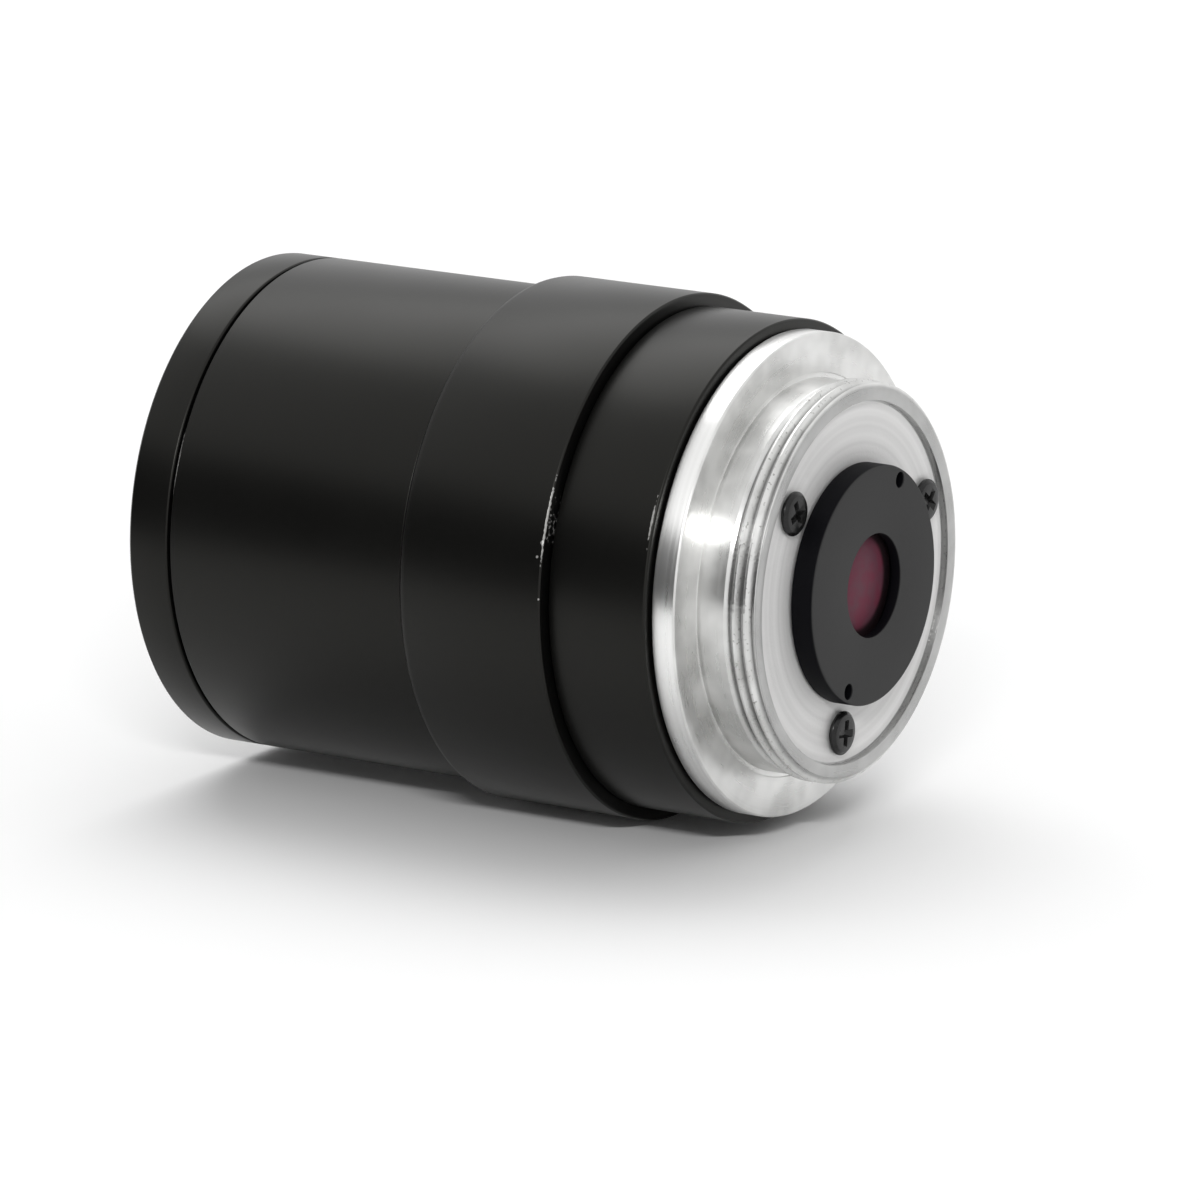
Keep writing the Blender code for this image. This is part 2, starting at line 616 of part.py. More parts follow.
def mount_flange():
    half_break = EDGE_BREAK / 2
    undercut = neck_radius + UNDERCUT_WIDTH
    outline = [(cavity_radius, z_flange), (flange_radius - half_break, z_flange),
               (flange_radius, z_flange + half_break), (flange_radius, z_neck - half_break),
               (flange_radius - half_break, z_neck), (undercut, z_neck),
               (undercut, z_neck - UNDERCUT_DEPTH), (neck_radius, z_neck - UNDERCUT_DEPTH),
               (neck_radius, z_thread - EDGE_BREAK), (THREAD_RADIUS, z_thread),
               (THREAD_RADIUS, z_mount_end - half_break), (THREAD_RADIUS - half_break, z_mount_end),
               (recess_radius, z_mount_end), (recess_radius, z_recess), (cap_bore, z_recess),
               (cap_bore, z_cavity), (cavity_radius, z_cavity)]
    mount = turned("mount_flange", outline, turned_aluminium, OUTER_STEPS)
    for i, angle in enumerate(screw_angles()):
        hole = round_bar(f"mount_screw_hole_{i + 1}", SCREW_SHANK_RADIUS + RUNNING_GAP,
                         z_cavity - RUNNING_GAP, z_recess + RUNNING_GAP)
        place(hole, Matrix.Translation((*polar(screw_circle, angle), 0)))
        boolean(mount, hole)
    shade_round(mount)


def mount_screws():
    z_head = z_recess + SEAT_GAP
    z_top = z_head + SCREW_HEAD_HEIGHT
    edge = EDGE_BREAK / 2
    outline = [(0, z_head - SCREW_LENGTH), (SCREW_SHANK_RADIUS, z_head - SCREW_LENGTH),
               (SCREW_SHANK_RADIUS, z_head), (SCREW_HEAD_RADIUS, z_head),
               (SCREW_HEAD_RADIUS, z_top - edge), (SCREW_HEAD_RADIUS - edge, z_top), (0, z_top)]
    for i, angle in enumerate(screw_angles()):
        spot = Matrix.Translation((*polar(screw_circle, angle), 0))
        screw = turned(f"mount_screw_{i + 1}", outline, black_screw, SCREW_STEPS)
        place(screw, spot)
        half = CROSS_LENGTH / 2
        wide = CROSS_WIDTH / 2
        cross = [(half, -wide), (half, wide), (wide, wide), (wide, half), (-wide, half), (-wide, wide),
                 (-half, wide), (-half, -wide), (-wide, -wide), (-wide, -half), (wide, -half),
                 (wide, -wide)]
        recess = plate(f"mount_screw_cross_{i + 1}", cross, z_top - CROSS_DEPTH, z_top + CROSS_DEPTH,
                       None, cutters)
        place(recess, spot @ Matrix.Rotation(radians(angle + CROSS_TURN * i), 4, "Z"))
        boolean(screw, recess)
        shade_round(screw)


def rear_cap():
    z_bottom = z_cap - CAP_NECK_LENGTH
    edge = EDGE_BREAK / 2
    outline = [(CAP_NECK_RADIUS, z_bottom), (CAP_NECK_RADIUS, z_cap), (cap_radius, z_cap),
               (cap_radius, z_cap_end - edge), (cap_radius - edge, z_cap_end),
               (CAP_HOLE_RADIUS, z_cap_end), (CAP_HOLE_RADIUS, z_cap_end - CAP_LIP),
               (glass_bore, z_cap_end - CAP_LIP), (glass_bore, z_bottom)]
    cap = turned("rear_cap", outline, cap_black)
    for i in range(2):
        hole = round_bar(f"spanner_hole_{i + 1}", SPANNER_HOLE_RADIUS,
                         z_cap_end - SPANNER_HOLE_DEPTH, z_cap_end + SPANNER_HOLE_DEPTH)
        spot = polar(spanner_hole_circle, SPANNER_HOLE_START + 180 * i)
        place(hole, Matrix.Translation((*spot, 0)))
        boolean(cap, hole)
    shade_round(cap)


def lens(name, cell_start, element, material=clear_glass):
    outline = []
    radius = element["radius"]
    vertex = cell_start + element["vertex"]
    for side, apex, order in (("front", vertex, 1), ("rear", vertex + element["thickness"], -1)):
        curve = element[side + "_curve"]
        clear = element.get("clear_" + side, radius)
        points = [(clear * share, apex + sag(curve, clear * share)) for share in LENS_SHARES]
        if clear < radius:
            points.append((radius, points[-1][1]))
        outline += points[::order]
    shade_round(turned(name, outline, material, LENS_STEPS))


def rear_edge(element):
    """Height of an element's rear rim from its cell's front end."""
    clear = element.get("clear_rear", element["radius"])
    return element["vertex"] + element["thickness"] + sag(element["rear_curve"], clear)


def front_height(element, radius):
    """Height of an element's front surface at a radius from its cell's front end."""
    return element["vertex"] + sag(element["front_curve"], radius)


def tube(name, inner, outer, bottom, top, material, steps=INNER_STEPS):
    item = turned(name, [(inner, bottom), (outer, bottom), (outer, top), (inner, top)], material, steps)
    shade_round(item)
    return item


def front_group():
    z0 = z_front_cell
    bore_1 = FRONT_LENS_1["radius"] + RUNNING_GAP
    bore_2 = FRONT_LENS_2["radius"] + RUNNING_GAP
    bore_3 = FRONT_LENS_3["radius"] + RUNNING_GAP
    land = FRONT_LENS_3["radius"] - FRONT_LAND
    z_seat_1 = z0 + rear_edge(FRONT_LENS_1) + RUNNING_GAP
    z_seat_2 = z0 + rear_edge(FRONT_LENS_2) + RUNNING_GAP
    z_seat_3 = z0 + front_height(FRONT_LENS_3, land) - RUNNING_GAP
    outline = [(bore_1, z0), (front_cell_radius, z0), (front_cell_radius, z_front_cell_end),
               (bore_3, z_front_cell_end), (bore_3, z_seat_3), (land, z_seat_3), (land, z_seat_2),
               (bore_2, z_seat_2), (bore_2, z_seat_1), (bore_1, z_seat_1)]
    cell = turned("front_cell", outline, matt_black)
    pin_holes(cell, FOCUS_PIN_START, z_focus_pin, front_cell_radius)
    shade_round(cell)
    lens("front_lens_1", z0, FRONT_LENS_1)
    lens("front_lens_2", z0, FRONT_LENS_2)
    lens("front_lens_3", z0, FRONT_LENS_3)
    lock_inner = FRONT_LENS_1["radius"] - FRONT_LOCK_WALL
    tube("front_lock_ring", lock_inner, FRONT_LENS_1["radius"], z0 + SEAT_GAP,
         z0 + front_height(FRONT_LENS_1, lock_inner) - RUNNING_GAP, satin_black)
    z_spacer = z0 + front_height(FRONT_LENS_2, FRONT_LENS_2["radius"]) - RUNNING_GAP
    tube("front_spacer", FRONT_LENS_2["radius"] - FRONT_SPACER_WALL, FRONT_LENS_2["radius"],
         z_spacer - FRONT_SPACER_HEIGHT, z_spacer, matt_black)
    cam_pins("focus_pin", FOCUS_PIN_START, z_focus_pin, front_cell_radius)


def zoom_group():
    z0 = z_zoom_cell
    bore_1 = ZOOM_LENS_1["radius"] + RUNNING_GAP
    bore_2 = ZOOM_LENS_2["radius"] + RUNNING_GAP
    land = ZOOM_LENS_2["radius"] - ZOOM_LAND
    z_seat_1 = z0 + rear_edge(ZOOM_LENS_1) + RUNNING_GAP
    z_seat_2 = z_seat_1 + ZOOM_LAND_HEIGHT
    outline = [(bore_1, z0), (pad_radius, z0), (pad_radius, z_zoom_cell_end),
               (bore_2, z_zoom_cell_end), (bore_2, z_seat_2), (land, z_seat_2), (land, z_seat_1),
               (bore_1, z_seat_1)]
    cell = turned("zoom_cell", outline, matt_black)
    spacing = 360 / PIN_COUNT
    for i in range(PIN_COUNT):
        first = ZOOM_PIN_START + spacing * i + ZOOM_PAD_ANGLE
        relief = plate(f"zoom_cell_relief_{i + 1}",
                       sector(zoom_cell_radius, rear_bore + RUNNING_GAP, first,
                              first + spacing - 2 * ZOOM_PAD_ANGLE),
                       z0 - RUNNING_GAP, z_zoom_cell_end + RUNNING_GAP, None, cutters)
        boolean(cell, relief)
    pin_holes(cell, ZOOM_PIN_START, z_zoom_pin, pad_radius)
    shade_round(cell)
    lens("zoom_lens_1", z0, ZOOM_LENS_1)
    lens("zoom_lens_2", z0, ZOOM_LENS_2)
    lens("zoom_lens_3", z0, ZOOM_LENS_3)
    lock_inner = ZOOM_LENS_3["radius"] + RUNNING_GAP
    lock_outer = ZOOM_LENS_2["radius"]
    z_lock_front = z_zoom_cell_end - ZOOM_LOCK_HEIGHT
    z_lip = z_zoom_cell_end - ZOOM_LOCK_LIP
    lip = ZOOM_LENS_3["radius"] - ZOOM_LOCK_OVERHANG
    outline = [(lock_inner, z_lock_front), (lock_outer, z_lock_front),
               (lock_outer, z_zoom_cell_end), (lip, z_zoom_cell_end), (lip, z_lip),
               (lock_inner, z_lip)]
    shade_round(turned("zoom_lock_ring", outline, satin_black))
    cam_pins("zoom_pin", ZOOM_PIN_START, z_zoom_pin, pad_radius)


def rear_glass():
    z_front = z_cap_end - CAP_LIP - SEAT_GAP - REAR_LENS["thickness"]
    lens("rear_glass", z_front, REAR_LENS, coated_glass)
    z_top = z_front - SEAT_GAP
    tube("rear_lock_ring", REAR_LENS["radius"] - REAR_LOCK_WALL, REAR_LENS["radius"],
         z_top - REAR_LOCK_HEIGHT, z_top, satin_black)


def turn_about(point, pivot, angle):
    return pivot + Matrix.Rotation(radians(angle), 2) @ (point - pivot)


def blade_outline():
    """A sickle round the optical axis, with lugs for its pivot on the X axis and its drive pin."""
    tip_radius = (blade_outer - blade_inner) / 2
    middle = polar(blade_inner + tip_radius, BLADE_END)
    tip = arc_about(middle, tip_radius, BLADE_END + 180, BLADE_END, 4)[1:-1]
    inner = arc(blade_inner, BLADE_START, BLADE_END, 8)
    outer = arc(blade_outer, BLADE_END, BLADE_HEEL, 5)
    drive = arc_about(polar(drive_circle, DRIVE_ANGLE), DRIVE_EYE, DRIVE_ANGLE + DRIVE_EYE_START,
                      DRIVE_ANGLE, 2)
    pivot = arc_about(polar(pivot_circle, 0), PIVOT_EYE, PIVOT_EYE_START, PIVOT_EYE_END, 4)
    return inner + tip + outer + drive + pivot


def iris_blades():
    to_drive = polar(drive_circle, DRIVE_ANGLE) - polar(pivot_circle, 0)
    outline = [(x - pivot_circle, y) for x, y in blade_outline()]
    for i in range(BLADE_COUNT):
        z_blade = z_rotor - (i + 1) * BLADE_PITCH
        middle = z_blade + BLADE_THICKNESS / 2
        name = f"iris_blade_{i + 1}"
        blade = plate(name, outline, z_blade, z_blade + BLADE_THICKNESS, blade_black)
        pivot = round_bar(f"{name}_pivot", PIVOT_RADIUS, z_cover + COVER_THICKNESS / 4, middle)
        drive = round_bar(f"{name}_drive", DRIVE_PIN_RADIUS, middle, z_rotor + ROTOR_THICKNESS)
        place(drive, Matrix.Translation((*to_drive, 0)))
        boolean(blade, pivot, "UNION")
        boolean(blade, drive, "UNION")
        around = Matrix.Rotation(2 * pi * i / BLADE_COUNT, 4, "Z")
        for item in (blade, pivot, drive):
            place(item, around @ Matrix.Translation((pivot_circle, 0, 0)))


def rotor_slot_outline():
    """The path of a blade's drive pin as the rotor sees it, widened to a slot with round ends."""
    steps = 4
    pivot = polar(pivot_circle, 0)
    pin = polar(drive_circle, DRIVE_ANGLE)
    path = []
    for i in range(steps + 1):
        share = i / steps
        spot = turn_about(pin, pivot, BLADE_TURN * share)
        path.append(turn_about(spot, Vector((0, 0)), -IRIS_TURN * share))
    half_width = DRIVE_PIN_RADIUS + DRIVE_SLOT_GAP
    left = []
    right = []
    for i, spot in enumerate(path):
        along = (path[min(i + 1, steps)] - path[max(i - 1, 0)]).normalized()
        across = Vector((-along.y, along.x)) * half_width
        left.append(spot + across)
        right.append(spot - across)
    first = (path[0] - path[1]).normalized()
    last = (path[-1] - path[-2]).normalized()
    ends = []
    for spot, way in ((path[-1], last), (path[0], first)):
        side = Vector((-way.y, way.x))
        ends.append([spot + half_width * (side * cos(a) + way * sin(a))
                     for a in (pi / 4, pi / 2, 3 * pi / 4)])
    return [tuple(p) for p in left + ends[0] + right[::-1] + ends[1]]


def iris_rotor():
    rotor = tube("iris_rotor", rotor_inner, pad_radius, z_rotor, z_rotor + ROTOR_THICKNESS, matt_black)
    arm = plate("iris_rotor_arm", sector(arm_inner, pad_radius - UNION_OFFSET,
                                         ARM_ANGLE - ARM_WIDTH, ARM_ANGLE + ARM_WIDTH, 4),
                z_rotor + ROTOR_THICKNESS / 2, z_arm_pin + ARM_END, None, cutters)
    boolean(rotor, arm, "UNION")
    hole = round_bar("iris_rotor_arm_hole", ARM_PIN_RADIUS + RUNNING_GAP,
                     arm_inner - ARM_THICKNESS, pad_radius + ARM_THICKNESS)
    place(hole, radial(ARM_ANGLE, z_arm_pin))
    boolean(rotor, hole)
    for i in range(BLADE_COUNT):
        slot = plate(f"iris_rotor_slot_{i + 1}", rotor_slot_outline(), z_rotor - ROTOR_THICKNESS,
                     z_rotor + 2 * ROTOR_THICKNESS, None, cutters)
        place(slot, Matrix.Rotation(2 * pi * i / BLADE_COUNT, 4, "Z"))
        boolean(rotor, slot)


def iris_housing():
    wall_inner = iris_radius - HOUSING_WALL
    z_floor = z_housing_end - HOUSING_FLOOR
    outline = [(iris_window, z_floor), (wall_inner, z_floor), (wall_inner, z_cover_end + SEAT_GAP),
               (iris_radius, z_cover_end + SEAT_GAP), (iris_radius, z_housing_end),
               (iris_window, z_housing_end)]
    housing = turned("iris_housing", outline, matt_black)
    margin = ARM_WIDTH + degrees(RUNNING_GAP / arm_inner)
    window = plate("iris_arm_slot", sector(arm_inner - RUNNING_GAP, rear_bore,
                                           ARM_ANGLE - margin, ARM_ANGLE + IRIS_TURN + margin),
                   z_floor - RUNNING_GAP, z_housing_end + RUNNING_GAP, None, cutters)
    boolean(housing, window)
    shade_round(housing)


def iris_cover():
    cover = tube("iris_cover", iris_window, iris_radius, z_cover, z_cover_end, matt_black)
    for i in range(BLADE_COUNT):
        hole = round_bar(f"iris_cover_hole_{i + 1}", PIVOT_RADIUS + DRIVE_SLOT_GAP,
                         z_cover - COVER_THICKNESS, z_cover_end + COVER_THICKNESS)
        place(hole, Matrix.Translation((*polar(pivot_circle, 360 * i / BLADE_COUNT), 0)))
        boolean(cover, hole)


def iris_lock_ring():
    tube("iris_lock_ring", iris_radius - LOCK_WALL, iris_radius, z_lock, z_lock + LOCK_THICKNESS,
         satin_black)


rim_ring()
focus_ring()
zoom_ring()
iris_ring()
iris_arm_pin()
main_barrel()
mount_flange()
mount_screws()
rear_cap()
rear_glass()
front_group()
zoom_group()
iris_lock_ring()
iris_cover()
iris_blades()
iris_rotor()
iris_housing()
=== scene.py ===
# %% [markdown]
# A varifocal lens for a security camera. It is a stack of turned rings: black anodised ones that
# are gripped and turned, and a bare aluminium screw mount at the rear. The solids already have
# every piece at its real size. This script gives them the fine surface that a lathe leaves, the
# screw thread, and the finish of each metal and glass. We start by loading the solids, which stay
# fixed.

# %% Load the solids
import json
from math import atan2, cos, hypot, pi, radians, sin, sqrt

import bmesh
import bpy
from mathutils import Matrix, Vector


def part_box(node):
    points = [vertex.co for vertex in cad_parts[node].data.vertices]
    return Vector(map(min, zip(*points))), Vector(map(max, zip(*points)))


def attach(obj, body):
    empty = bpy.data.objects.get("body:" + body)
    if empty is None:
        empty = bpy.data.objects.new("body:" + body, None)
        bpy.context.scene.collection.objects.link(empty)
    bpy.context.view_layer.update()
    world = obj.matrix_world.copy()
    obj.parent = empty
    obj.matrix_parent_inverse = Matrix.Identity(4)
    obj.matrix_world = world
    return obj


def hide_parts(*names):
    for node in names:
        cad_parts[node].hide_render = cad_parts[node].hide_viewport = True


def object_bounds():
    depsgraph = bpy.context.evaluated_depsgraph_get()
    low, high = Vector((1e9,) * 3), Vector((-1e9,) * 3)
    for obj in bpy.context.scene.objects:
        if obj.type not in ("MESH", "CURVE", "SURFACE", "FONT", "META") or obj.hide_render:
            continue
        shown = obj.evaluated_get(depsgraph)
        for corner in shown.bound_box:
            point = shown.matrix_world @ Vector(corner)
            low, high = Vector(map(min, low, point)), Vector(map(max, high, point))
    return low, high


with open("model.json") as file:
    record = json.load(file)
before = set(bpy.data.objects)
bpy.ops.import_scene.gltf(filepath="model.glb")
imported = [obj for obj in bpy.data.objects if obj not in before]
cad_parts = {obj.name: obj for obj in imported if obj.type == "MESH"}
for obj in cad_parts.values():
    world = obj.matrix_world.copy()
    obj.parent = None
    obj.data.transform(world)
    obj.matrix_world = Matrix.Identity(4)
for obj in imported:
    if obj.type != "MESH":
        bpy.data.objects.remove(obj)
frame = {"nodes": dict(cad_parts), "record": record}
nodes = frame["nodes"]
cad_low, cad_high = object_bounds()
MM = 0.001
print("solids:", len(nodes), "box in mm:", [round(x / MM, 2) for x in cad_high - cad_low])

# %% [markdown]
# The lens lies on a table and the camera looks down at its mount end. In the solids' frame the
# lens stands upright, so instead of laying it down we tilt the studio round it. Three angles say
# how: the camera looks down by one, the lens is turned towards the camera by the second, and it is
# rolled on the table by the third. From them come the studio's own directions.

# %% Studio directions
LOOK_DOWN = radians(13.98)
LENS_TURN = radians(31.93)
LENS_ROLL = radians(16.35)
axis = Vector((0, 0, 1))
up = Vector((-cos(LENS_ROLL), -sin(LENS_ROLL), 0))
across = up.cross(axis)
right = cos(LENS_TURN) * axis + sin(LENS_TURN) * across
back = cos(LENS_TURN) * across - sin(LENS_TURN) * axis
lens_middle = (cad_low + cad_high) / 2
table_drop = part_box("zoom_ring")[1].x


def in_studio(to_right, to_back, above):
    """A place counted from the middle of the lens along the studio's directions."""
    return lens_middle + to_right * right + to_back * back + above * up


print("table lies", round(table_drop / MM, 2), "mm under the optical axis")

# %% [markdown]
# A long focal length gives the flat perspective of a product photograph. The camera is placed from
# the centre of the mount's end, which is the clearest point of the picture.

# %% Camera
CAMERA_DISTANCE = 0.558
FOCAL_LENGTH = 268.1
SENSOR_WIDTH = 36.0
NEAREST_SEEN = 0.01
FARTHEST_SEEN = 10.0
MOUNT_END_RIGHT = 16.02 * MM
MOUNT_END_ABOVE = 1.06 * MM
forward = cos(LOOK_DOWN) * back - sin(LOOK_DOWN) * up
camera_up = cos(LOOK_DOWN) * up + sin(LOOK_DOWN) * back
mount_end = Vector((0, 0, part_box("mount_flange")[1].z))
camera_place = mount_end - CAMERA_DISTANCE * forward
camera_place = camera_place - MOUNT_END_RIGHT * right - MOUNT_END_ABOVE * camera_up
camera_data = bpy.data.cameras.new("camera")
camera_data.lens = FOCAL_LENGTH
camera_data.sensor_width = SENSOR_WIDTH
camera_data.clip_start = NEAREST_SEEN
camera_data.clip_end = FARTHEST_SEEN
camera = bpy.data.objects.new("camera", camera_data)
bpy.context.scene.collection.objects.link(camera)
turn = Matrix((right, camera_up, -forward)).transposed()
camera.matrix_world = Matrix.Translation(camera_place) @ turn.to_4x4()
bpy.context.scene.camera = camera
bpy.context.scene.view_settings.view_transform = "Standard"
print("camera at", [round(x, 3) for x in camera_place])

# %% [markdown]
# Shader nodes are easier to read as sums than as boxes and wires. A small class wraps a socket, so
# that an expression such as 1 - mask * 0.5 adds its own Math nodes. One method makes any other
# node: it is given the node's type, its settings and what goes into its sockets. Two more say what
# a finish needs most often: a blend of two colours, and a mask that rises between two values.


# %% Shader expressions
class Wire:
    """A shader socket that can be used in sums."""

    def __init__(self, finish, socket):
        self.finish = finish
        self.socket = socket

    def sum(self, operation, *values):
        settings = {"operation": operation, "use_clamp": False}
        return self.finish.node("ShaderNodeMath", settings, dict(enumerate(values)))

    def __add__(self, other):
        return self.sum("ADD", self, other)

    def __radd__(self, other):
        return self.sum("ADD", other, self)

    def __sub__(self, other):
        return self.sum("SUBTRACT", self, other)

    def __rsub__(self, other):
        return self.sum("SUBTRACT", other, self)

    def __mul__(self, other):
        return self.sum("MULTIPLY", self, other)

    def __rmul__(self, other):
        return self.sum("MULTIPLY", other, self)

    def __truediv__(self, other):
        return self.sum("DIVIDE", self, other)

    def root(self):
        return self.sum("SQRT", self)


class Finish:
    """A material under construction, with one Principled shader."""

    def __init__(self, name, **constants):
        self.material = bpy.data.materials.new(name)
        self.material.use_nodes = True
        self.tree = self.material.node_tree
        self.shader = self.tree.nodes["Principled BSDF"]
        for socket, value in constants.items():
            self.set(socket.replace("_", " ").title().replace("Ior", "IOR"), value)

    def set(self, socket, value):
        self.join(self.shader.inputs[socket], value)

    def join(self, socket, value):
        if isinstance(value, Wire):
            self.tree.links.new(value.socket, socket)
        elif isinstance(value, tuple) and len(value) == 3 and len(socket.default_value) == 4:
            socket.default_value = (*value, 1.0)
        else:
            socket.default_value = value

    def node(self, kind, settings=None, inputs=None, output=0):
        made = self.tree.nodes.new(kind)
        for name, value in (settings or {}).items():
            setattr(made, name, value)
        for name, value in (inputs or {}).items():
            self.join(made.inputs[name], value)
        return Wire(self, made.outputs[output])

    def blend(self, mask, first, second):
        """The first colour where the mask is 0 and the second where it is 1."""
        inputs = {0: mask, 6: first, 7: second}
        return self.node("ShaderNodeMix", {"data_type": "RGBA"}, inputs, 2)

    def between(self, value, low, high):
        """Rises smoothly from 0 at low to 1 at high."""
        settings = {"interpolation_type": "SMOOTHSTEP"}
        inputs = {0: value, 1: low, 2: high, 3: 0.0, 4: 1.0}
        return self.node("ShaderNodeMapRange", settings, inputs)


print("shader expressions are ready")

# %% [markdown]
# Every turned surface carries the fine rings of its cutting tool. They are the same all the way
# round and change only with the distance from the axis and with the height, so the pattern is made
# from those two numbers and not from the surface's own directions.


# %% Lathe pattern
def own_place(finish):
    """The object's own coordinates."""
    return finish.node("ShaderNodeTexCoord", output="Object")


def lathe_place(finish):
    """The object's own coordinates, the distance from the axis and the height."""
    place = own_place(finish)
    x = finish.node("ShaderNodeSeparateXYZ", inputs={0: place})
    y, z = (Wire(finish, x.socket.node.outputs[i]) for i in (1, 2))
    return place, (x * x + y * y).root(), z


def lathe_lines(finish, radius, height, spacing, detail=2.0):
    """Noise that changes across the tool marks and is even along them."""
    inputs = {0: radius / spacing, 1: height / spacing}
    across_marks = finish.node("ShaderNodeCombineXYZ", inputs=inputs)
    settings = {"noise_dimensions": "2D"}
    inputs = {"Vector": across_marks, "Scale": 1.0, "Detail": detail, "Roughness": 0.6}
    return finish.node("ShaderNodeTexNoise", settings, inputs)


def grain(finish, place, size, detail=2.0):
    """Noise that is alike in all directions, with spots of about the given size."""
    inputs = {"Vector": place, "Scale": 1.0 / size, "Detail": detail, "Roughness": 0.55}
    return finish.node("ShaderNodeTexNoise", None, inputs)


def relief(finish, depth, *heights):
    """Adds up the heights, each given as (height, share), and gives the surface that relief."""
    total = sum(height * share for height, share in heights)
    inputs = {"Strength": 1.0, "Distance": depth, "Height": total}
    finish.set("Normal", finish.node("ShaderNodeBump", None, inputs))


print("lathe pattern is ready")

# %% [markdown]
# The black rings are anodised aluminium. Anodising keeps the turned surface under a thin satin
# layer, so the colour is close to black and most of what we see is a soft, faintly warm reflection.
# Where the lens has been handled the layer is worn: a few nicks at the rear edge of the widest ring
# show the metal through. A line along that edge and short lines on the other two rings are painted
# highlights: lighter, partly metallic colour where those edges catch the light.

# %% Black anodised finish
ANODISED_SHADE = 0.002
SATIN = 0.33
# The nicks' bare metal and the painted highlight streaks share this colour and this share of it.
BARE_METAL_OR_HIGHLIGHT = (0.75, 0.74, 0.72)
BARE_OR_HIGHLIGHT_SHARE = 0.45
WARM_REFLECTION = (1.0, 0.99, 0.92)


def ragged_spots(finish, place, spots):
    """1 inside small ragged spots, each given by angle, radius, height, length and thickness."""
    ragged = grain(finish, place, 0.25 * MM, 3.0) - 0.5
    total = 0.0
    for angle, radius, height, length, thickness in spots:
        spot = (radius * cos(radians(angle)), radius * sin(radians(angle)), height)
        away = finish.node("ShaderNodeVectorMath", {"operation": "SUBTRACT"}, {0: place, 1: spot})
        share = (2 / length, 2 / length, 2 / thickness)
        away = finish.node("ShaderNodeVectorMath", {"operation": "MULTIPLY"}, {0: away, 1: share})
        away = finish.node("ShaderNodeVectorMath", {"operation": "LENGTH"}, {0: away}, 1)
        total = total + (1 - finish.between(away + ragged * 2.0, 0.7, 1.0))
    return total


def anodised(name, nicks_and_highlights=()):
    finish = Finish(name, specular_ior_level=0.24, specular_tint=WARM_REFLECTION)
    place, radius, height = lathe_place(finish)
    lines = lathe_lines(finish, radius, height, 0.12 * MM)
    cloud = grain(finish, place, 6 * MM)
    fine = grain(finish, place, 0.25 * MM)
    warmer = tuple(ANODISED_SHADE * share for share in (1.2, 1.17, 1.12))
    colour = finish.blend(cloud, (ANODISED_SHADE * 0.85,) * 3, warmer)
    finish.set("Roughness", SATIN - 0.05 + cloud * 0.06 + lines * 0.04)
    finish.set("Base Color", colour)
    if nicks_and_highlights:
        # Lighter, partly metallic spots: bare metal in the nicks, painted highlight in the streaks.
        bare = ragged_spots(finish, place, nicks_and_highlights)
        finish.set("Base Color", finish.blend(bare * BARE_OR_HIGHLIGHT_SHARE, colour, BARE_METAL_OR_HIGHLIGHT))
        finish.set("Metallic", bare * 0.3)
    relief(finish, 0.004 * MM, (lines, 0.5), (fine, 0.25))
    return finish.material


print("anodised finish is ready")

# %% [markdown]
# Bare aluminium is bright and a little rough. Its tool marks bend the light across them, which
# gives a turned face its bright sectors. The shader's anisotropy does that: turned by a quarter,
# its stretch runs across the rings round the axis. The mount has four zones. Its flange is bright,
# its neck is duller, its thread has torn crests and a painted shade in its roots, and the floor
# inside its end face is rough like a casting.

# %% Bare turned aluminium
FLOOR_RADIUS = 11.5 * MM
NECK_HEIGHT = 40.26 * MM
THREAD_HEIGHT = 42.26 * MM
END_FACE_HEIGHT = THREAD_HEIGHT + 1.9 * MM
CREST_RADIUS = 12.7 * MM
BRIGHT_METAL = (0.80, 0.80, 0.79), (0.92, 0.92, 0.91)
DULL_METAL = (0.60, 0.60, 0.59), (0.78, 0.78, 0.77)
CAST_METAL = (0.62, 0.615, 0.61), (0.80, 0.795, 0.79)
TORN_METAL = (0.36, 0.36, 0.35)
PAINTED_ROOT_SHADE = (0.22, 0.22, 0.22)


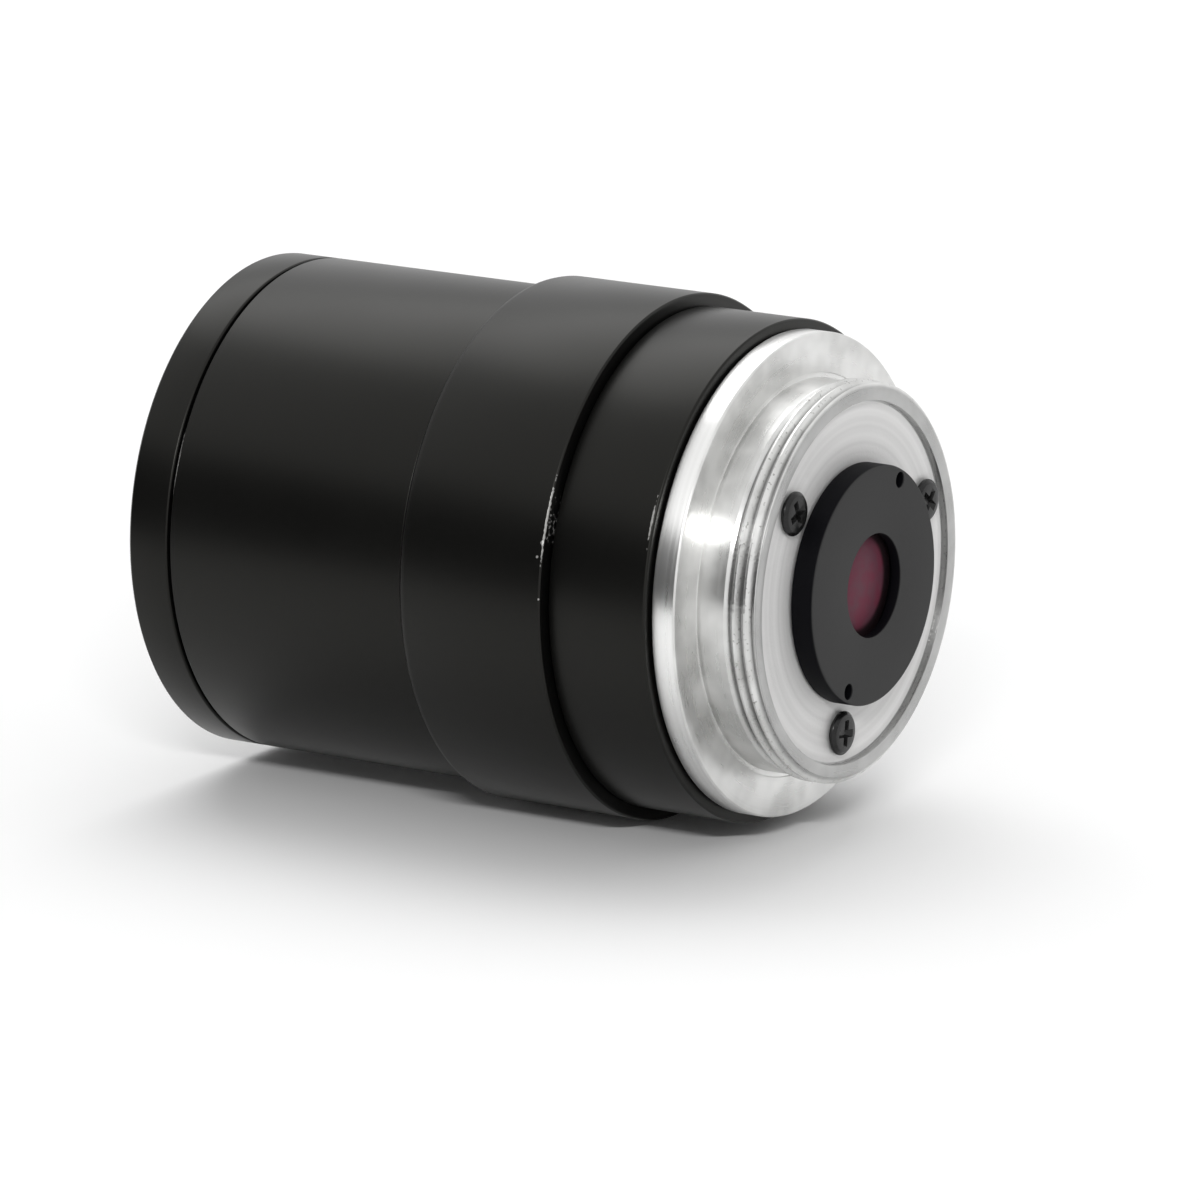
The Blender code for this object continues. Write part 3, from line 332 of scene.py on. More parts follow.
def turned_bare(name):
    finish = Finish(name, anisotropic=0.75, anisotropic_rotation=0.25)
    place, radius, height = lathe_place(finish)
    coarse = lathe_lines(finish, radius, height, 0.36 * MM, 1.0)
    fine = lathe_lines(finish, radius, height, 0.09 * MM)
    cloud = grain(finish, place, 3.0 * MM)
    burr = grain(finish, place, 0.22 * MM, 1.0)
    neck = finish.between(height, NECK_HEIGHT - 0.2 * MM, NECK_HEIGHT - 0.05 * MM)
    thread = finish.between(height, THREAD_HEIGHT - 0.1 * MM, THREAD_HEIGHT + 0.1 * MM)
    end = finish.between(height, END_FACE_HEIGHT - 0.05 * MM, END_FACE_HEIGHT + 0.05 * MM)
    floor = 1 - finish.between(radius, FLOOR_RADIUS - 0.2 * MM, FLOOR_RADIUS - 0.08 * MM)
    # Painted shade in the thread's roots; it also darkens the end face inside the crests, a little
    # less.
    root = 1 - finish.between(radius, CREST_RADIUS - 0.40 * MM, CREST_RADIUS - 0.15 * MM)
    root = thread * (1 - floor) * (1 - end * 0.2) * root
    torn = thread * (1 - floor) * (1 - end) * finish.between(burr, 0.62, 0.76)
    metal = finish.blend(neck, finish.blend(coarse, *BRIGHT_METAL),
                         finish.blend(finish.between(cloud, 0.3, 0.7), *DULL_METAL))
    metal = finish.blend(torn, metal, TORN_METAL)
    metal = finish.blend(root * 0.7, metal, PAINTED_ROOT_SHADE)
    rings = lathe_lines(finish, radius, height, 0.5 * MM, 1.0)
    finish.set("Base Color", finish.blend(floor, metal, finish.blend(rings, *CAST_METAL)))
    finish.set("Metallic", 1 - floor * 0.8)
    finish.set("Roughness", 0.20 + cloud * 0.10 + coarse * 0.08 + floor * 0.25)
    relief(finish, 0.004 * MM, (fine, 1.0), (coarse, 2.0), (burr * thread * (1 - end), 4.0))
    return finish.material


print("bare finish is ready")

# %% [markdown]
# Glass lets light through and reflects a little at each face. The rear element has a coating that
# reflects deep red, so from outside we see that colour and little of what lies behind it. Towards
# its rim it darkens, where the cap shades it.

# %% Glass
RED_COATING = (0.112, 0.042, 0.060), (0.142, 0.034, 0.056)
SHADED_COATING = (0.018, 0.011, 0.013)


def clear_glass(name):
    finish = Finish(name, transmission_weight=1.0, ior=1.6, base_color=(0.93, 0.97, 0.95))
    finish.set("Coat Weight", 0.4)
    finish.set("Coat Tint", (0.55, 0.75, 0.6, 1.0))
    dust = finish.between(grain(finish, own_place(finish), 0.6 * MM), 0.55, 0.9)
    finish.set("Roughness", 0.015 + dust * 0.03)
    return finish.material


def coated_glass(name):
    finish = Finish(name, specular_ior_level=0.06)
    place, radius, height = lathe_place(finish)
    cloud = finish.between(grain(finish, place, 1.2 * MM, 3.0), 0.35, 0.65)
    rim = finish.between(radius, 2.7 * MM, 3.2 * MM)
    colour = finish.blend(rim, finish.blend(cloud, *RED_COATING), SHADED_COATING)
    finish.set("Base Color", colour)
    finish.set("Roughness", 0.35 + cloud * 0.1)
    return finish.material


print("glass is ready")

# %% [markdown]
# Last come the small black steel parts, and the matt black that stops stray light inside the
# barrel. The cap is matt black too. Below its face, on its side and in its bore, its colour is
# painted near black as shade, so only the face looks a little paler.

# %% Steel and matt black
PAINTED_SHADE_BELOW_FACE = (0.002, 0.002, 0.003)
GROUND_METAL = (0.55, 0.55, 0.53), (0.66, 0.66, 0.64)


def dark_steel(name, shade, roughness):
    finish = Finish(name, metallic=0.6)
    cloud = grain(finish, own_place(finish), 0.4 * MM)
    finish.set("Base Color", finish.blend(cloud, (shade,) * 3, (shade * 1.8,) * 3))
    finish.set("Roughness", roughness - 0.05 + cloud * 0.15)
    relief(finish, 0.006 * MM, (cloud, 1.0))
    return finish.material


def matt_black(name, shade=0.016, roughness=0.6, face=None):
    """Where the height of a face is given, all below it is painted near black as shade."""
    finish = Finish(name, specular_ior_level=0.08 if face else 0.35)
    place, radius, height = lathe_place(finish)
    fine = grain(finish, place, 0.15 * MM)
    lines = lathe_lines(finish, radius, height, 0.15 * MM)
    colour = finish.blend(fine, (shade * 0.9,) * 3, (shade * 1.1,) * 3)
    if face:
        # Painted shade: the side wall and the bore below the face are near black.
        on_face = finish.between(height, face - 0.12 * MM, face - 0.02 * MM)
        colour = finish.blend(on_face, PAINTED_SHADE_BELOW_FACE, colour)
    finish.set("Base Color", colour)
    finish.set("Roughness", roughness + fine * 0.08)
    relief(finish, 0.004 * MM, (fine, 0.5), (lines, 0.5))
    return finish.material


def ground_steel(name):
    finish = Finish(name, metallic=1.0)
    fine = grain(finish, own_place(finish), 0.1 * MM)
    finish.set("Base Color", finish.blend(fine, *GROUND_METAL))
    finish.set("Roughness", 0.25 + fine * 0.1)
    relief(finish, 0.002 * MM, (fine, 1.0))
    return finish.material


print("steel and matt black are ready")

# %% [markdown]
# Now every finish gets the name of its material slot, and each solid wears the finish of its own
# slot. The three gripped rings have a finish of their own, with spots of lighter, partly metallic
# colour: nicks on the widest ring, and painted highlights along an edge of each ring. The spots are
# given by angle, radius, height, length and thickness.

# %% Finishes of the pieces
zoom_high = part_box("zoom_ring")[1]
focus_low, focus_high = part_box("focus_ring")
iris_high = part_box("iris_ring")[1]
# Three nicks on the zoom ring's rear edge, then a painted highlight streak along that edge.
zoom_nicks_and_painted_highlight = [(271.5, zoom_high.x, zoom_high.z - 0.1 * MM, 0.28 * MM, 0.28 * MM),
             (274.7, zoom_high.x, zoom_high.z - 0.35 * MM, 0.2 * MM, 0.2 * MM),
             (283.7, zoom_high.x, zoom_high.z - 0.05 * MM, 0.24 * MM, 0.24 * MM),
             (266.7, zoom_high.x, zoom_high.z - 0.06 * MM, 5.0 * MM, 0.12 * MM)]
# Painted highlight streaks on the focus ring's front edge and on the iris ring's rear chamfer.
focus_painted_highlight = [(264.7, focus_high.x, focus_low.z + 0.10 * MM, 4.0 * MM, 0.2 * MM)]
iris_painted_highlight = [(263.5, iris_high.x, iris_high.z - 0.2 * MM, 3.0 * MM, 0.14 * MM)]
cap_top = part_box("rear_cap")[1].z
finishes = {
    "satin_black": anodised("black anodised"),
    "zoom_black": anodised("black anodised, nicks and painted highlight", nicks_and_highlights=zoom_nicks_and_painted_highlight),
    "focus_black": anodised("black anodised, painted edge highlight", nicks_and_highlights=focus_painted_highlight),
    "iris_black": anodised("black anodised, painted chamfer highlight", nicks_and_highlights=iris_painted_highlight),
    "matt_black": matt_black("matt black"),
    "cap_black": matt_black("matt cap black", shade=0.045, roughness=0.55, face=cap_top),
    "turned_aluminium": turned_bare("bare turned aluminium"),
    "black_screw": dark_steel("blackened steel", shade=0.012, roughness=0.22),
    "steel": ground_steel("ground steel"),
    "blade_black": dark_steel("blade black", shade=0.012, roughness=0.5),
    "clear_glass": clear_glass("clear glass"),
    "coated_glass": coated_glass("red coated glass"),
}
slot_of = {entry["node"]: entry["material_slot"] for entry in frame["record"]["subparts"]}


def dress(item, finish):
    item.data.materials.clear()
    item.data.materials.append(finishes[finish])


for name, node in nodes.items():
    dress(node, slot_of[name])
print("finishes:", sorted(finishes))

# %% [markdown]
# Now the modelling. Small helpers do what we would do by hand: select one object alone, work on it
# in edit mode, add a modifier and apply it, and cut one object with another. The last one dresses a
# finished piece, hides the solid that it replaces, and hangs it on the empty of the body it moves
# with.

# %% Modelling helpers
SAME_POINT = 0.0005 * MM
SMOOTH_BELOW = radians(28)
body_of = {node: body for body, members in frame["record"]["behaviour"]["bodies"].items()
           for node in members}


def only(item):
    bpy.ops.object.select_all(action="DESELECT")
    item.select_set(True)
    bpy.context.view_layer.objects.active = item


def edit_all(item):
    only(item)
    bpy.ops.object.mode_set(mode="EDIT")
    bpy.ops.mesh.select_all(action="SELECT")


def leave_edit():
    bpy.ops.object.mode_set(mode="OBJECT")


def modify(item, kind, **settings):
    step = item.modifiers.new(kind.title(), kind)
    for name, value in settings.items():
        setattr(step, name, value)
    only(item)
    bpy.ops.object.modifier_apply(modifier=step.name)


def merge_points(item, face_outwards=False):
    edit_all(item)
    bpy.ops.mesh.remove_doubles(threshold=SAME_POINT)
    if face_outwards:
        bpy.ops.mesh.normals_make_consistent(inside=False)
    leave_edit()


def resize_where(item, chosen, share, **settings):
    """Resizes only the points that a test picks by their place."""
    edit_all(item)
    bpy.ops.mesh.select_all(action="DESELECT")
    mesh = bmesh.from_edit_mesh(item.data)
    for vertex in mesh.verts:
        vertex.select = chosen(vertex.co)
    mesh.select_flush_mode()
    bmesh.update_edit_mesh(item.data)
    bpy.ops.transform.resize(value=share, **settings)
    leave_edit()


def combine(item, tool, operation="DIFFERENCE"):
    modify(item, "BOOLEAN", operation=operation, solver="EXACT", object=tool)
    bpy.data.objects.remove(tool)


def finished(item, node, finish=None):
    """Shades the piece, which replaces the node, gives it the node's finish, and lets it ride."""
    only(item)
    bpy.ops.object.transform_apply(location=True, rotation=True, scale=True)
    if item.data.has_custom_normals:
        bpy.ops.mesh.customdata_custom_splitnormals_clear()
    bpy.ops.object.shade_smooth_by_angle(angle=SMOOTH_BELOW)
    dress(item, finish or slot_of[node])
    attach(item, body_of[node])
    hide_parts(node)
    print(item.name, "has", len(item.data.polygons), "faces")


print("modelling helpers are ready")

# %% [markdown]
# A turned piece is one outline spun round the axis. The solids hold that outline already, but with
# few facets. We copy a solid, cut it with a plane through the axis, and keep only the cut line.
# Where grooves or holes pass, the cut is made at an angle that misses them.

# %% Take an outline from a solid
ON_THE_CUT = 0.0002 * MM
ON_THE_AXIS = 0.001 * MM
STRAIGHT_ENOUGH = 0.002
CLEAR_OF_HOLES = 90


def copy_of(node, name):
    item = bpy.data.objects.new(name, nodes[node].data.copy())
    bpy.context.scene.collection.objects.link(item)
    merge_points(item)
    return item


def straight(before, point, after):
    first = Vector(point) - Vector(before)
    second = Vector(after) - Vector(point)
    bend = abs(first.x * second.y - first.y * second.x)
    return bend < STRAIGHT_ENOUGH * first.length * second.length


def outline_of(node, angle=0.0):
    """The outline of a solid at an angle round the axis, as (radius, height) points in order."""
    cut = copy_of(node, "cut")
    way = Vector((cos(radians(angle)), sin(radians(angle)), 0))
    edit_all(cut)
    bpy.ops.mesh.bisect(plane_co=(0, 0, 0), plane_no=axis.cross(way), threshold=ON_THE_CUT,
                        clear_inner=True, clear_outer=True)
    leave_edit()
    places = [(v.co.dot(way), v.co.z) for v in cut.data.vertices]
    beside = {}
    for edge in cut.data.edges:
        a, b = edge.vertices
        if min(places[a][0], places[b][0]) > -ON_THE_AXIS:
            beside.setdefault(a, set()).add(b)
            beside.setdefault(b, set()).add(a)
    start = min(beside, key=lambda i: (len(beside[i]), places[i][1]))
    chain = [start]
    while True:
        following = [i for i in beside[chain[-1]] if i not in chain]
        if not following:
            break
        chain.append(following[0])
    bpy.data.objects.remove(cut)
    points = [places[i] for i in chain]
    beside_each = zip([points[-1]] + points, points, points[1:] + points[:1])
    return [point for before, point, after in beside_each if not straight(before, point, after)]


for name in ("front_rim_ring", "rear_cap"):
    corners = outline_of(name, CLEAR_OF_HOLES)
    print(name, [(round(r / MM, 2), round(z / MM, 2)) for r, z in corners])

# %% [markdown]
# To spin it again finely, we draw the outline by extruding a single vertex from point to point and
# use the spin tool. The Bevel modifier then rounds each turned edge a little, because no real edge
# is perfectly sharp: the thin highlights on a lens barrel all come from such edges.

# %% Spin an outline
FINE_STEPS = 240
SHARP_ABOVE = radians(25)
SLIGHT_ROUNDING = 0.03 * MM
USUAL_ROUNDING = 0.05 * MM


def draw(name, outline, closed=True):
    """One vertex, extruded from point to point in the plane of X and Z."""
    radius, height = outline[0]
    bpy.ops.object.select_all(action="DESELECT")
    bpy.ops.mesh.primitive_plane_add(size=MM, location=(radius, 0, height))
    item = bpy.context.object
    item.name = name
    bpy.ops.object.mode_set(mode="EDIT")
    bpy.ops.mesh.merge(type="CENTER")
    stops = outline + outline[:1] if closed else outline
    for (r0, z0), (r1, z1) in zip(stops, stops[1:]):
        bpy.ops.mesh.extrude_region_move(TRANSFORM_OT_translate={"value": (r1 - r0, 0, z1 - z0)})
    leave_edit()
    merge_points(item)
    bpy.ops.object.transform_apply(location=True)
    return item


def spun(name, outline, rounding=USUAL_ROUNDING, steps=FINE_STEPS, closed=True):
    item = draw(name, outline, closed)
    edit_all(item)
    bpy.ops.mesh.spin(steps=steps, angle=2 * pi, center=(0, 0, 0), axis=(0, 0, 1))
    leave_edit()
    merge_points(item, face_outwards=True)
    if rounding:
        modify(item, "BEVEL", width=rounding, segments=3, limit_method="ANGLE",
               angle_limit=SHARP_ABOVE, harden_normals=False)
    return item


print("spinning uses", FINE_STEPS, "steps")

# %% [markdown]
# Plain rings need nothing else: the rim ring at the front, and inside it the small rings that lock
# the glass and keep it apart.

# %% Plain turned rings
for name in ("front_rim_ring", "front_lock_ring", "front_spacer", "iris_lock_ring",
             "rear_lock_ring", "zoom_lock_ring"):
    finished(spun(name + "_turned", outline_of(name)), name)

# %% [markdown]
# The focus, zoom and iris rings are hollow, and their bores have cam grooves or a pin hole that
# must stay. So the solid's inside is kept: its outer wall is drawn in by a hundredth, and a finely
# spun sleeve with the true outside is joined over it.

# %% Rings with cam grooves
DRAWN_IN = 0.99


def outer_sleeve(node, clear_angle, sleeve_bore):
    """A fine sleeve with the node's outside, from its bore out."""
    outside = [p for p in outline_of(node, clear_angle) if p[0] > sleeve_bore]
    low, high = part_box(node)
    outside.sort(key=lambda p: (p[1], p[0] if p[1] < (low.z + high.z) / 2 else -p[0]))
    outline = [(sleeve_bore, low.z), *outside, (sleeve_bore, high.z)]
    return spun(node + "_sleeve", outline, SLIGHT_ROUNDING)


for name, clear_angle, sleeve_bore, finish in (("focus_ring", 45, 15.3 * MM, "focus_black"),
                                               ("zoom_ring", 117, 15.5 * MM, "zoom_black"),
                                               ("iris_ring", 0, 15.32 * MM, "iris_black")):
    piece = copy_of(name, name + "_turned")
    resize_where(piece, lambda co: hypot(co.x, co.y) > sleeve_bore, (DRAWN_IN, DRAWN_IN, 1),
                 center_override=(0, 0, 0))
    combine(piece, outer_sleeve(name, clear_angle, sleeve_bore), "UNION")
    finished(piece, name, finish)

# %% [markdown]
# The mount is the bright piece that draws the eye. Its outline comes from the solid, apart from the
# stretch that carries the thread: there the solid has a plain cylinder, and we go down to the
# thread's root so that a real helical ridge can stand on it.

# %% Mount without its thread
THREAD_PITCH = 25.4 * MM / 32
THREAD_DEPTH = 0.42 * MM
CLEAR_OF_SCREWS = 72
ABOUT_THE_SAME = 0.01 * MM
mount_outline = outline_of("mount_flange", CLEAR_OF_SCREWS)
thread_radius = max(r for r, z in mount_outline if z > mount_end.z - 1.5 * MM)
thread_start = min(z for r, z in mount_outline if abs(r - thread_radius) < ABOUT_THE_SAME)
root_radius = thread_radius - THREAD_DEPTH
mount_outline = [(min(r, root_radius) if z > thread_start - ABOUT_THE_SAME else r, z)
                 for r, z in mount_outline]
mount = spun("mount_turned", mount_outline, SLIGHT_ROUNDING)
print("thread from", round(thread_start / MM, 2), "to", round(mount_end.z / MM, 2), "mm")

# %% [markdown]
# The thread is a small outline that climbs as it turns. The Screw modifier does that with an offset
# of one pitch for each turn. A turned envelope then trims both ends and gives the first ridge its
# lead-in chamfer.

# %% Screw thread
RIDGE_FOOT = 0.70 * MM
RIDGE_CREST = 0.12 * MM
RIDGE_SUNK = 0.15 * MM
EXTRA_TURNS = 3
ridge_turns = int((mount_end.z - thread_start) / THREAD_PITCH) + EXTRA_TURNS
ridge_foot_radius = root_radius - RIDGE_SUNK
ridge_start = thread_start - THREAD_PITCH
half_ridge = [(ridge_foot_radius, RIDGE_FOOT / 2), (root_radius, RIDGE_FOOT / 2),
              (thread_radius, RIDGE_CREST / 2)]
ridge = draw("thread", [(r, ridge_start - z) for r, z in half_ridge]
             + [(r, ridge_start + z) for r, z in half_ridge[::-1]])
modify(ridge, "SCREW", axis="Z", angle=2 * pi, screw_offset=THREAD_PITCH, iterations=ridge_turns,
       steps=FINE_STEPS, render_steps=FINE_STEPS, use_merge_vertices=False)
edit_all(ridge)
bpy.ops.mesh.select_all(action="DESELECT")
bpy.ops.mesh.select_mode(type="EDGE")
bpy.ops.mesh.select_non_manifold(extend=False)
bpy.ops.mesh.fill_holes(sides=8)
bpy.ops.mesh.select_mode(type="VERT")
leave_edit()
merge_points(ridge, face_outwards=True)
LEAD_IN = 0.22 * MM
RUN_OUT = 0.35 * MM
END_GAP = 0.02 * MM
OVER_CRESTS = 0.1 * MM
UNDER_FOOT = 0.3 * MM
outer_radius = thread_radius + OVER_CRESTS
inner_radius = ridge_foot_radius - UNDER_FOOT
envelope = spun("envelope", [
    (inner_radius, thread_start + END_GAP),
    (root_radius, thread_start + END_GAP),
    (outer_radius, thread_start + RUN_OUT),
    (outer_radius, mount_end.z - LEAD_IN - OVER_CRESTS),
    (thread_radius - LEAD_IN, mount_end.z - END_GAP),
    (inner_radius, mount_end.z - END_GAP)], rounding=0)
combine(ridge, envelope, "INTERSECT")
combine(mount, ridge, "UNION")
print("thread turns:", ridge_turns, "mount faces:", len(mount.data.polygons))

# %% [markdown]
# Three screws go through the mount. Their holes are drilled where the solids have the screws.


# %% Screw holes in the mount
def bar(name, radius, low, high, place, sides=32):
    """A round bar that stands upright at a place, between two heights."""
    bpy.ops.object.select_all(action="DESELECT")
    bpy.ops.mesh.primitive_cylinder_add(vertices=sides, radius=radius, depth=high - low,
                                        location=(place.x, place.y, (low + high) / 2))
    item = bpy.context.object
    item.name = name
    return item


def middle_of(node):
    low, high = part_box(node)
    return (low + high) / 2


HOLE_RADIUS = 1.1 * MM
HOLE_DEPTH = 6 * MM
screw_names = [name for name in sorted(nodes) if name.startswith("mount_screw")]
for name in screw_names:
    drill = bar("drill", HOLE_RADIUS, mount_end.z - HOLE_DEPTH, mount_end.z + MM, middle_of(name))
    combine(mount, drill)
finished(mount, "mount_flange")

# %% [markdown]
# Each screw has a low round head with a cross recess. It is modelled at the axis, where it can be
# spun, and then moved to its place. The recess is a cross of two tapered bars, cut out of the head.
# No two screws were tightened to the same angle, so each is turned by another step.

# %% Cross-recess screws
CROSS_DEPTH = 0.36 * MM
CROSS_LENGTH = 1.85 * MM
CROSS_WIDTH = 0.52 * MM
CROSS_TAPER = 0.5, 0.55, 1
SHANK_RADIUS = 0.8 * MM
HEAD_CHAMFER = 0.22 * MM
CROWN_WIDTH = 0.6 * MM
CROWN_HEIGHT = 0.03 * MM
SCREW_ROUNDING = 0.04 * MM
SCREW_STEPS = 64
END_RECESS = 0.45 * MM
HEAD_ABOVE_FLOOR = 0.2 * MM
SCREW_TURN = radians(30)


def tapered_bar(name, length, width, top, depth):
    """A bar that hangs from a height and is smaller at its lower end."""
    bpy.ops.object.select_all(action="DESELECT")
    bpy.ops.mesh.primitive_cube_add(size=1.0, location=(0, 0, top - depth / 2))
    item = bpy.context.object
    item.name = name
    bpy.ops.transform.resize(value=(length, width, depth))
    bpy.ops.object.transform_apply(location=True, scale=True)
    resize_where(item, lambda co: co.z < top - depth / 2, CROSS_TAPER)
    return item


screw_low, screw_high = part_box("mount_screw_1")
head_radius = (screw_high.x - screw_low.x) / 2
head_foot = mount_end.z - END_RECESS + HEAD_ABOVE_FLOOR
for name in screw_names:
    low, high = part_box(name)
    place = (low + high) / 2
    outline = [(0, low.z), (SHANK_RADIUS, low.z), (SHANK_RADIUS, head_foot),
               (head_radius, head_foot), (head_radius, high.z - HEAD_CHAMFER),
               (head_radius - HEAD_CHAMFER, high.z - CROWN_HEIGHT),
               (head_radius - CROWN_WIDTH, high.z), (0, high.z)]
    screw = spun(name + "_turned", outline, SCREW_ROUNDING, SCREW_STEPS, closed=False)
    for quarter in range(2):
        recess = tapered_bar("recess", CROSS_LENGTH, CROSS_WIDTH, high.z + 0.05 * MM, CROSS_DEPTH)
        recess.rotation_euler.z = quarter * pi / 2
        combine(screw, recess)
    screw.location = (place.x, place.y, 0)
    screw.rotation_euler.z = atan2(place.y, place.x) + SCREW_TURN * screw_names.index(name)
    finished(screw, name)

# %% [markdown]
# The black cap holds the rear glass. It is turned, and two small blind holes take the pins of a
# spanner.

# %% Rear cap
SPANNER_CIRCLE = 6.9 * MM
SPANNER_ANGLE = radians(169.7)
SPANNER_RADIUS = 0.52 * MM
SPANNER_DEPTH = 0.8 * MM
CAP_STEPS = 192
cap = spun("rear_cap_turned", outline_of("rear_cap", CLEAR_OF_HOLES), steps=CAP_STEPS)
for angle in (SPANNER_ANGLE, SPANNER_ANGLE + pi):
    place = SPANNER_CIRCLE * Vector((cos(angle), sin(angle), 0))
    combine(cap, bar("drill", SPANNER_RADIUS, cap_top - SPANNER_DEPTH, cap_top + MM, place))
finished(cap, "rear_cap")

# %% [markdown]
# A lens element is ground to part of a sphere on each face. The solids have three points on each
# curve. A circle through them gives the true curve, which is then spun with many points.

# %% Glass elements
CURVE_POINTS = 12
GLASS_STEPS = 96


def ball_curve(points):
    """Points on the circle that is centred on the axis and passes through the first and last."""
    (r0, z0), (r1, z1) = points[0], points[-1]
    drop = z1 - z0
    ball = (r1 ** 2 + drop ** 2) / (2 * drop)
    result = []
    for i in range(CURVE_POINTS + 1):
        r = r1 * i / CURVE_POINTS
        height = ball - (1 if ball > 0 else -1) * sqrt(ball ** 2 - r ** 2)
        result.append((r, z0 + height))
    return result


def element_outline(node):
    """The first and last three points of a lens's outline are on its two curved faces."""
    points = outline_of(node)
    if points[0][1] > points[-1][1]:
        points = points[::-1]
    front = points[:3]
    rear = points[-3:][::-1]
    return ball_curve(front) + points[3:-3] + ball_curve(rear)[::-1]


for name in sorted(nodes):
    if slot_of[name] in ("clear_glass", "coated_glass"):
        element = spun(name + "_ground", element_outline(name), 0, GLASS_STEPS, closed=False)
        finished(element, name)

# %% [markdown]
# From the front one looks past the rim into the barrel, at the cell that holds the front glass.
# The barrel keeps its slots and holes, and only its front bore is cut true, as wide as the widest
# corner of the solid's bore. The cell is turned afresh, and its pins press their own seats into it.

# %% Front bore of the barrel and the front cell
CLEAR_OF_SLOTS = 77
FRONT_BORE_DEPTH = 10 * MM
CORNER_REACH = 0.25 * MM
BORE_SIDES = 192
barrel = copy_of("main_barrel", "main_barrel_bored")
barrel_outline = outline_of("main_barrel", CLEAR_OF_SLOTS)
narrowest = min(r for r, z in barrel_outline if z < FRONT_BORE_DEPTH)
corners = [(corner.co.xy.length, corner.co.z) for corner in nodes["main_barrel"].data.vertices]
bore_radius = max(r for r, z in corners if z < FRONT_BORE_DEPTH and r < narrowest + CORNER_REACH)
bore_end = middle_of("iris_housing").z - MM
combine(barrel, bar("borer", bore_radius + 0.01 * MM, -MM, bore_end, Vector((0, 0, 0)), BORE_SIDES))
finished(barrel, "main_barrel")
cell = spun("front_cell_turned", outline_of("front_cell", CLEAR_OF_SLOTS), SLIGHT_ROUNDING)
for pin in ("focus_pin_1", "focus_pin_2", "focus_pin_3"):
    combine(cell, copy_of(pin, pin + "_seat"))
finished(cell, "front_cell")
print("front bore", round(bore_radius / MM, 2))

# %% [markdown]
# The table is pale and dull, and it lies against the widest ring. It is seen from above only, so
# that views from below are not blocked by it. The background is white for the camera, for
# reflections and for what shows through glass. It lights dull surfaces less than half as much: the
# lamps do the rest from above, which keeps the contact shadow under the barrel narrow.

# %% Table and background
TABLE_SIZE = 2.6
TABLE_SHADE = 0.96
WORLD_LIGHT = 0.46
bpy.ops.object.select_all(action="DESELECT")
bpy.ops.mesh.primitive_grid_add(x_subdivisions=4, y_subdivisions=4, size=TABLE_SIZE)
table = bpy.context.object
table.name = "table"
table_turn = Matrix((right, back, up)).transposed().to_4x4()
table.matrix_world = Matrix.Translation(in_studio(0, 0, -table_drop)) @ table_turn
pale = Finish("table", roughness=0.6, base_color=(TABLE_SHADE,) * 3, specular_ior_level=0.0)
from_below = pale.node("ShaderNodeNewGeometry", output="Backfacing")
clear = pale.node("ShaderNodeBsdfTransparent")
one_sided = {0: from_below, 1: Wire(pale, pale.shader.outputs[0]), 2: clear}
pale.join(pale.tree.nodes["Material Output"].inputs[0],
          pale.node("ShaderNodeMixShader", None, one_sided))
table.data.materials.append(pale.material)

world = bpy.data.worlds.new("studio")
bpy.context.scene.world = world
world.use_nodes = True
tree = world.node_tree
rays = tree.nodes.new("ShaderNodeLightPath").outputs
shown = rays["Is Camera Ray"]
for kind in ("Is Glossy Ray", "Is Transmission Ray"):
    either = tree.nodes.new("ShaderNodeMath")
    either.operation = "ADD"
    tree.links.new(shown, either.inputs[0])
    tree.links.new(rays[kind], either.inputs[1])
    shown = either.outputs[0]
level = tree.nodes.new("ShaderNodeMapRange")
tree.links.new(shown, level.inputs[0])
level.inputs[3].default_value = WORLD_LIGHT
level.inputs[4].default_value = 1.0
tree.links.new(level.outputs[0], tree.nodes["Background"].inputs["Strength"])
tree.nodes["Background"].inputs["Color"].default_value = (1, 1, 1, 1)
print("table and background are ready")

# %% [markdown]
# Three lamps light the lens. A soft box above and behind it gives the long highlights on top of the
# rings. A wide lamp overhead lights only what is dull, so it leaves no reflection on the metal. A
# narrow bright strip over the camera lights the mount's end and makes the edges sparkle. Shiny
# metal shows what stands round it, so, as a photographer does, we put a black card where the near
# side of the barrel looks. It is seen in reflections only.


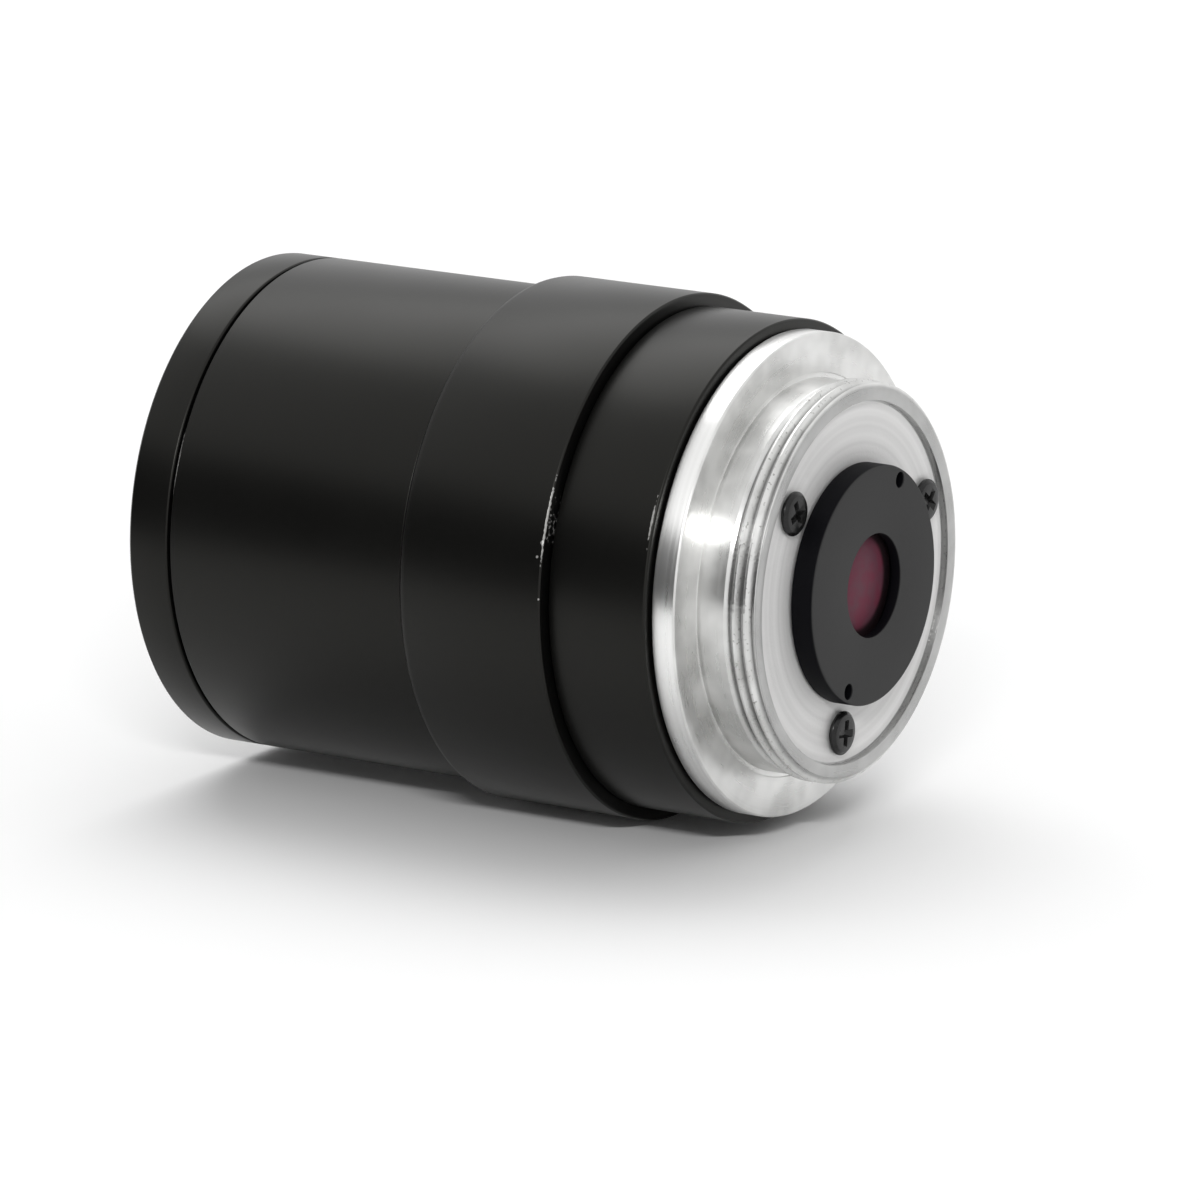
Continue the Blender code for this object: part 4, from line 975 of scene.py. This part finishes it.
# %% Lamps and card
def aim(place, target):
    """Stands at a place and looks at the target, with the width level in the studio."""
    behind = (place - target).normalized()
    level = up.cross(behind).normalized()
    facing = Matrix((level, behind.cross(level), behind)).transposed()
    return Matrix.Translation(place) @ facing.to_4x4()


def soft_box(name, place, width, depth, brightness):
    """An area lamp of a given brightness, where 1 is as bright as a white wall in full light."""
    data = bpy.data.lights.new(name, "AREA")
    data.shape = "RECTANGLE"
    data.size = width
    data.size_y = depth
    data.energy = brightness * pi * width * depth
    item = bpy.data.objects.new(name, data)
    bpy.context.scene.collection.objects.link(item)
    item.matrix_world = aim(place, lens_middle)
    return item


def card(name, bearing, near, far, width, shade):
    """A card that rises from near to far, both (distance, height), in a direction from the lens."""
    way = Vector((sin(bearing), -cos(bearing)))
    rise = Vector(far) - Vector(near)
    middle = (Vector(near) + Vector(far)) / 2
    along = (way.x * right + way.y * back) * rise.x / rise.length + up * rise.y / rise.length
    side = way.y * right - way.x * back
    bpy.ops.object.select_all(action="DESELECT")
    bpy.ops.mesh.primitive_grid_add(x_subdivisions=2, y_subdivisions=2, size=1.0)
    item = bpy.context.object
    item.name = name
    turned = Matrix((side * width, along * rise.length, side.cross(along))).transposed()
    place = in_studio(way.x * middle.x, way.y * middle.x, middle.y)
    item.matrix_world = Matrix.Translation(place) @ turned.to_4x4()
    for kind in ("camera", "diffuse", "shadow", "transmission"):
        setattr(item, "visible_" + kind, False)
    dull = Finish(name, roughness=1.0, base_color=(shade,) * 3, specular_ior_level=0.0)
    item.data.materials.append(dull.material)


soft_box("soft box", in_studio(-0.02, 0.37, 0.62), width=0.75, depth=0.5, brightness=1.7)
ceiling = soft_box("ceiling", in_studio(0, 0.3, 0.8), width=1.1, depth=0.8, brightness=0.75)
ceiling.visible_glossy = False
soft_box("front lamp", in_studio(0, -0.81, 0.455), width=0.3, depth=0.03, brightness=118.0)
card("black card", radians(-64), near=(0.13, -0.016), far=(0.60, 0.26), width=0.5, shade=0.06)
print("lamps and card are ready")
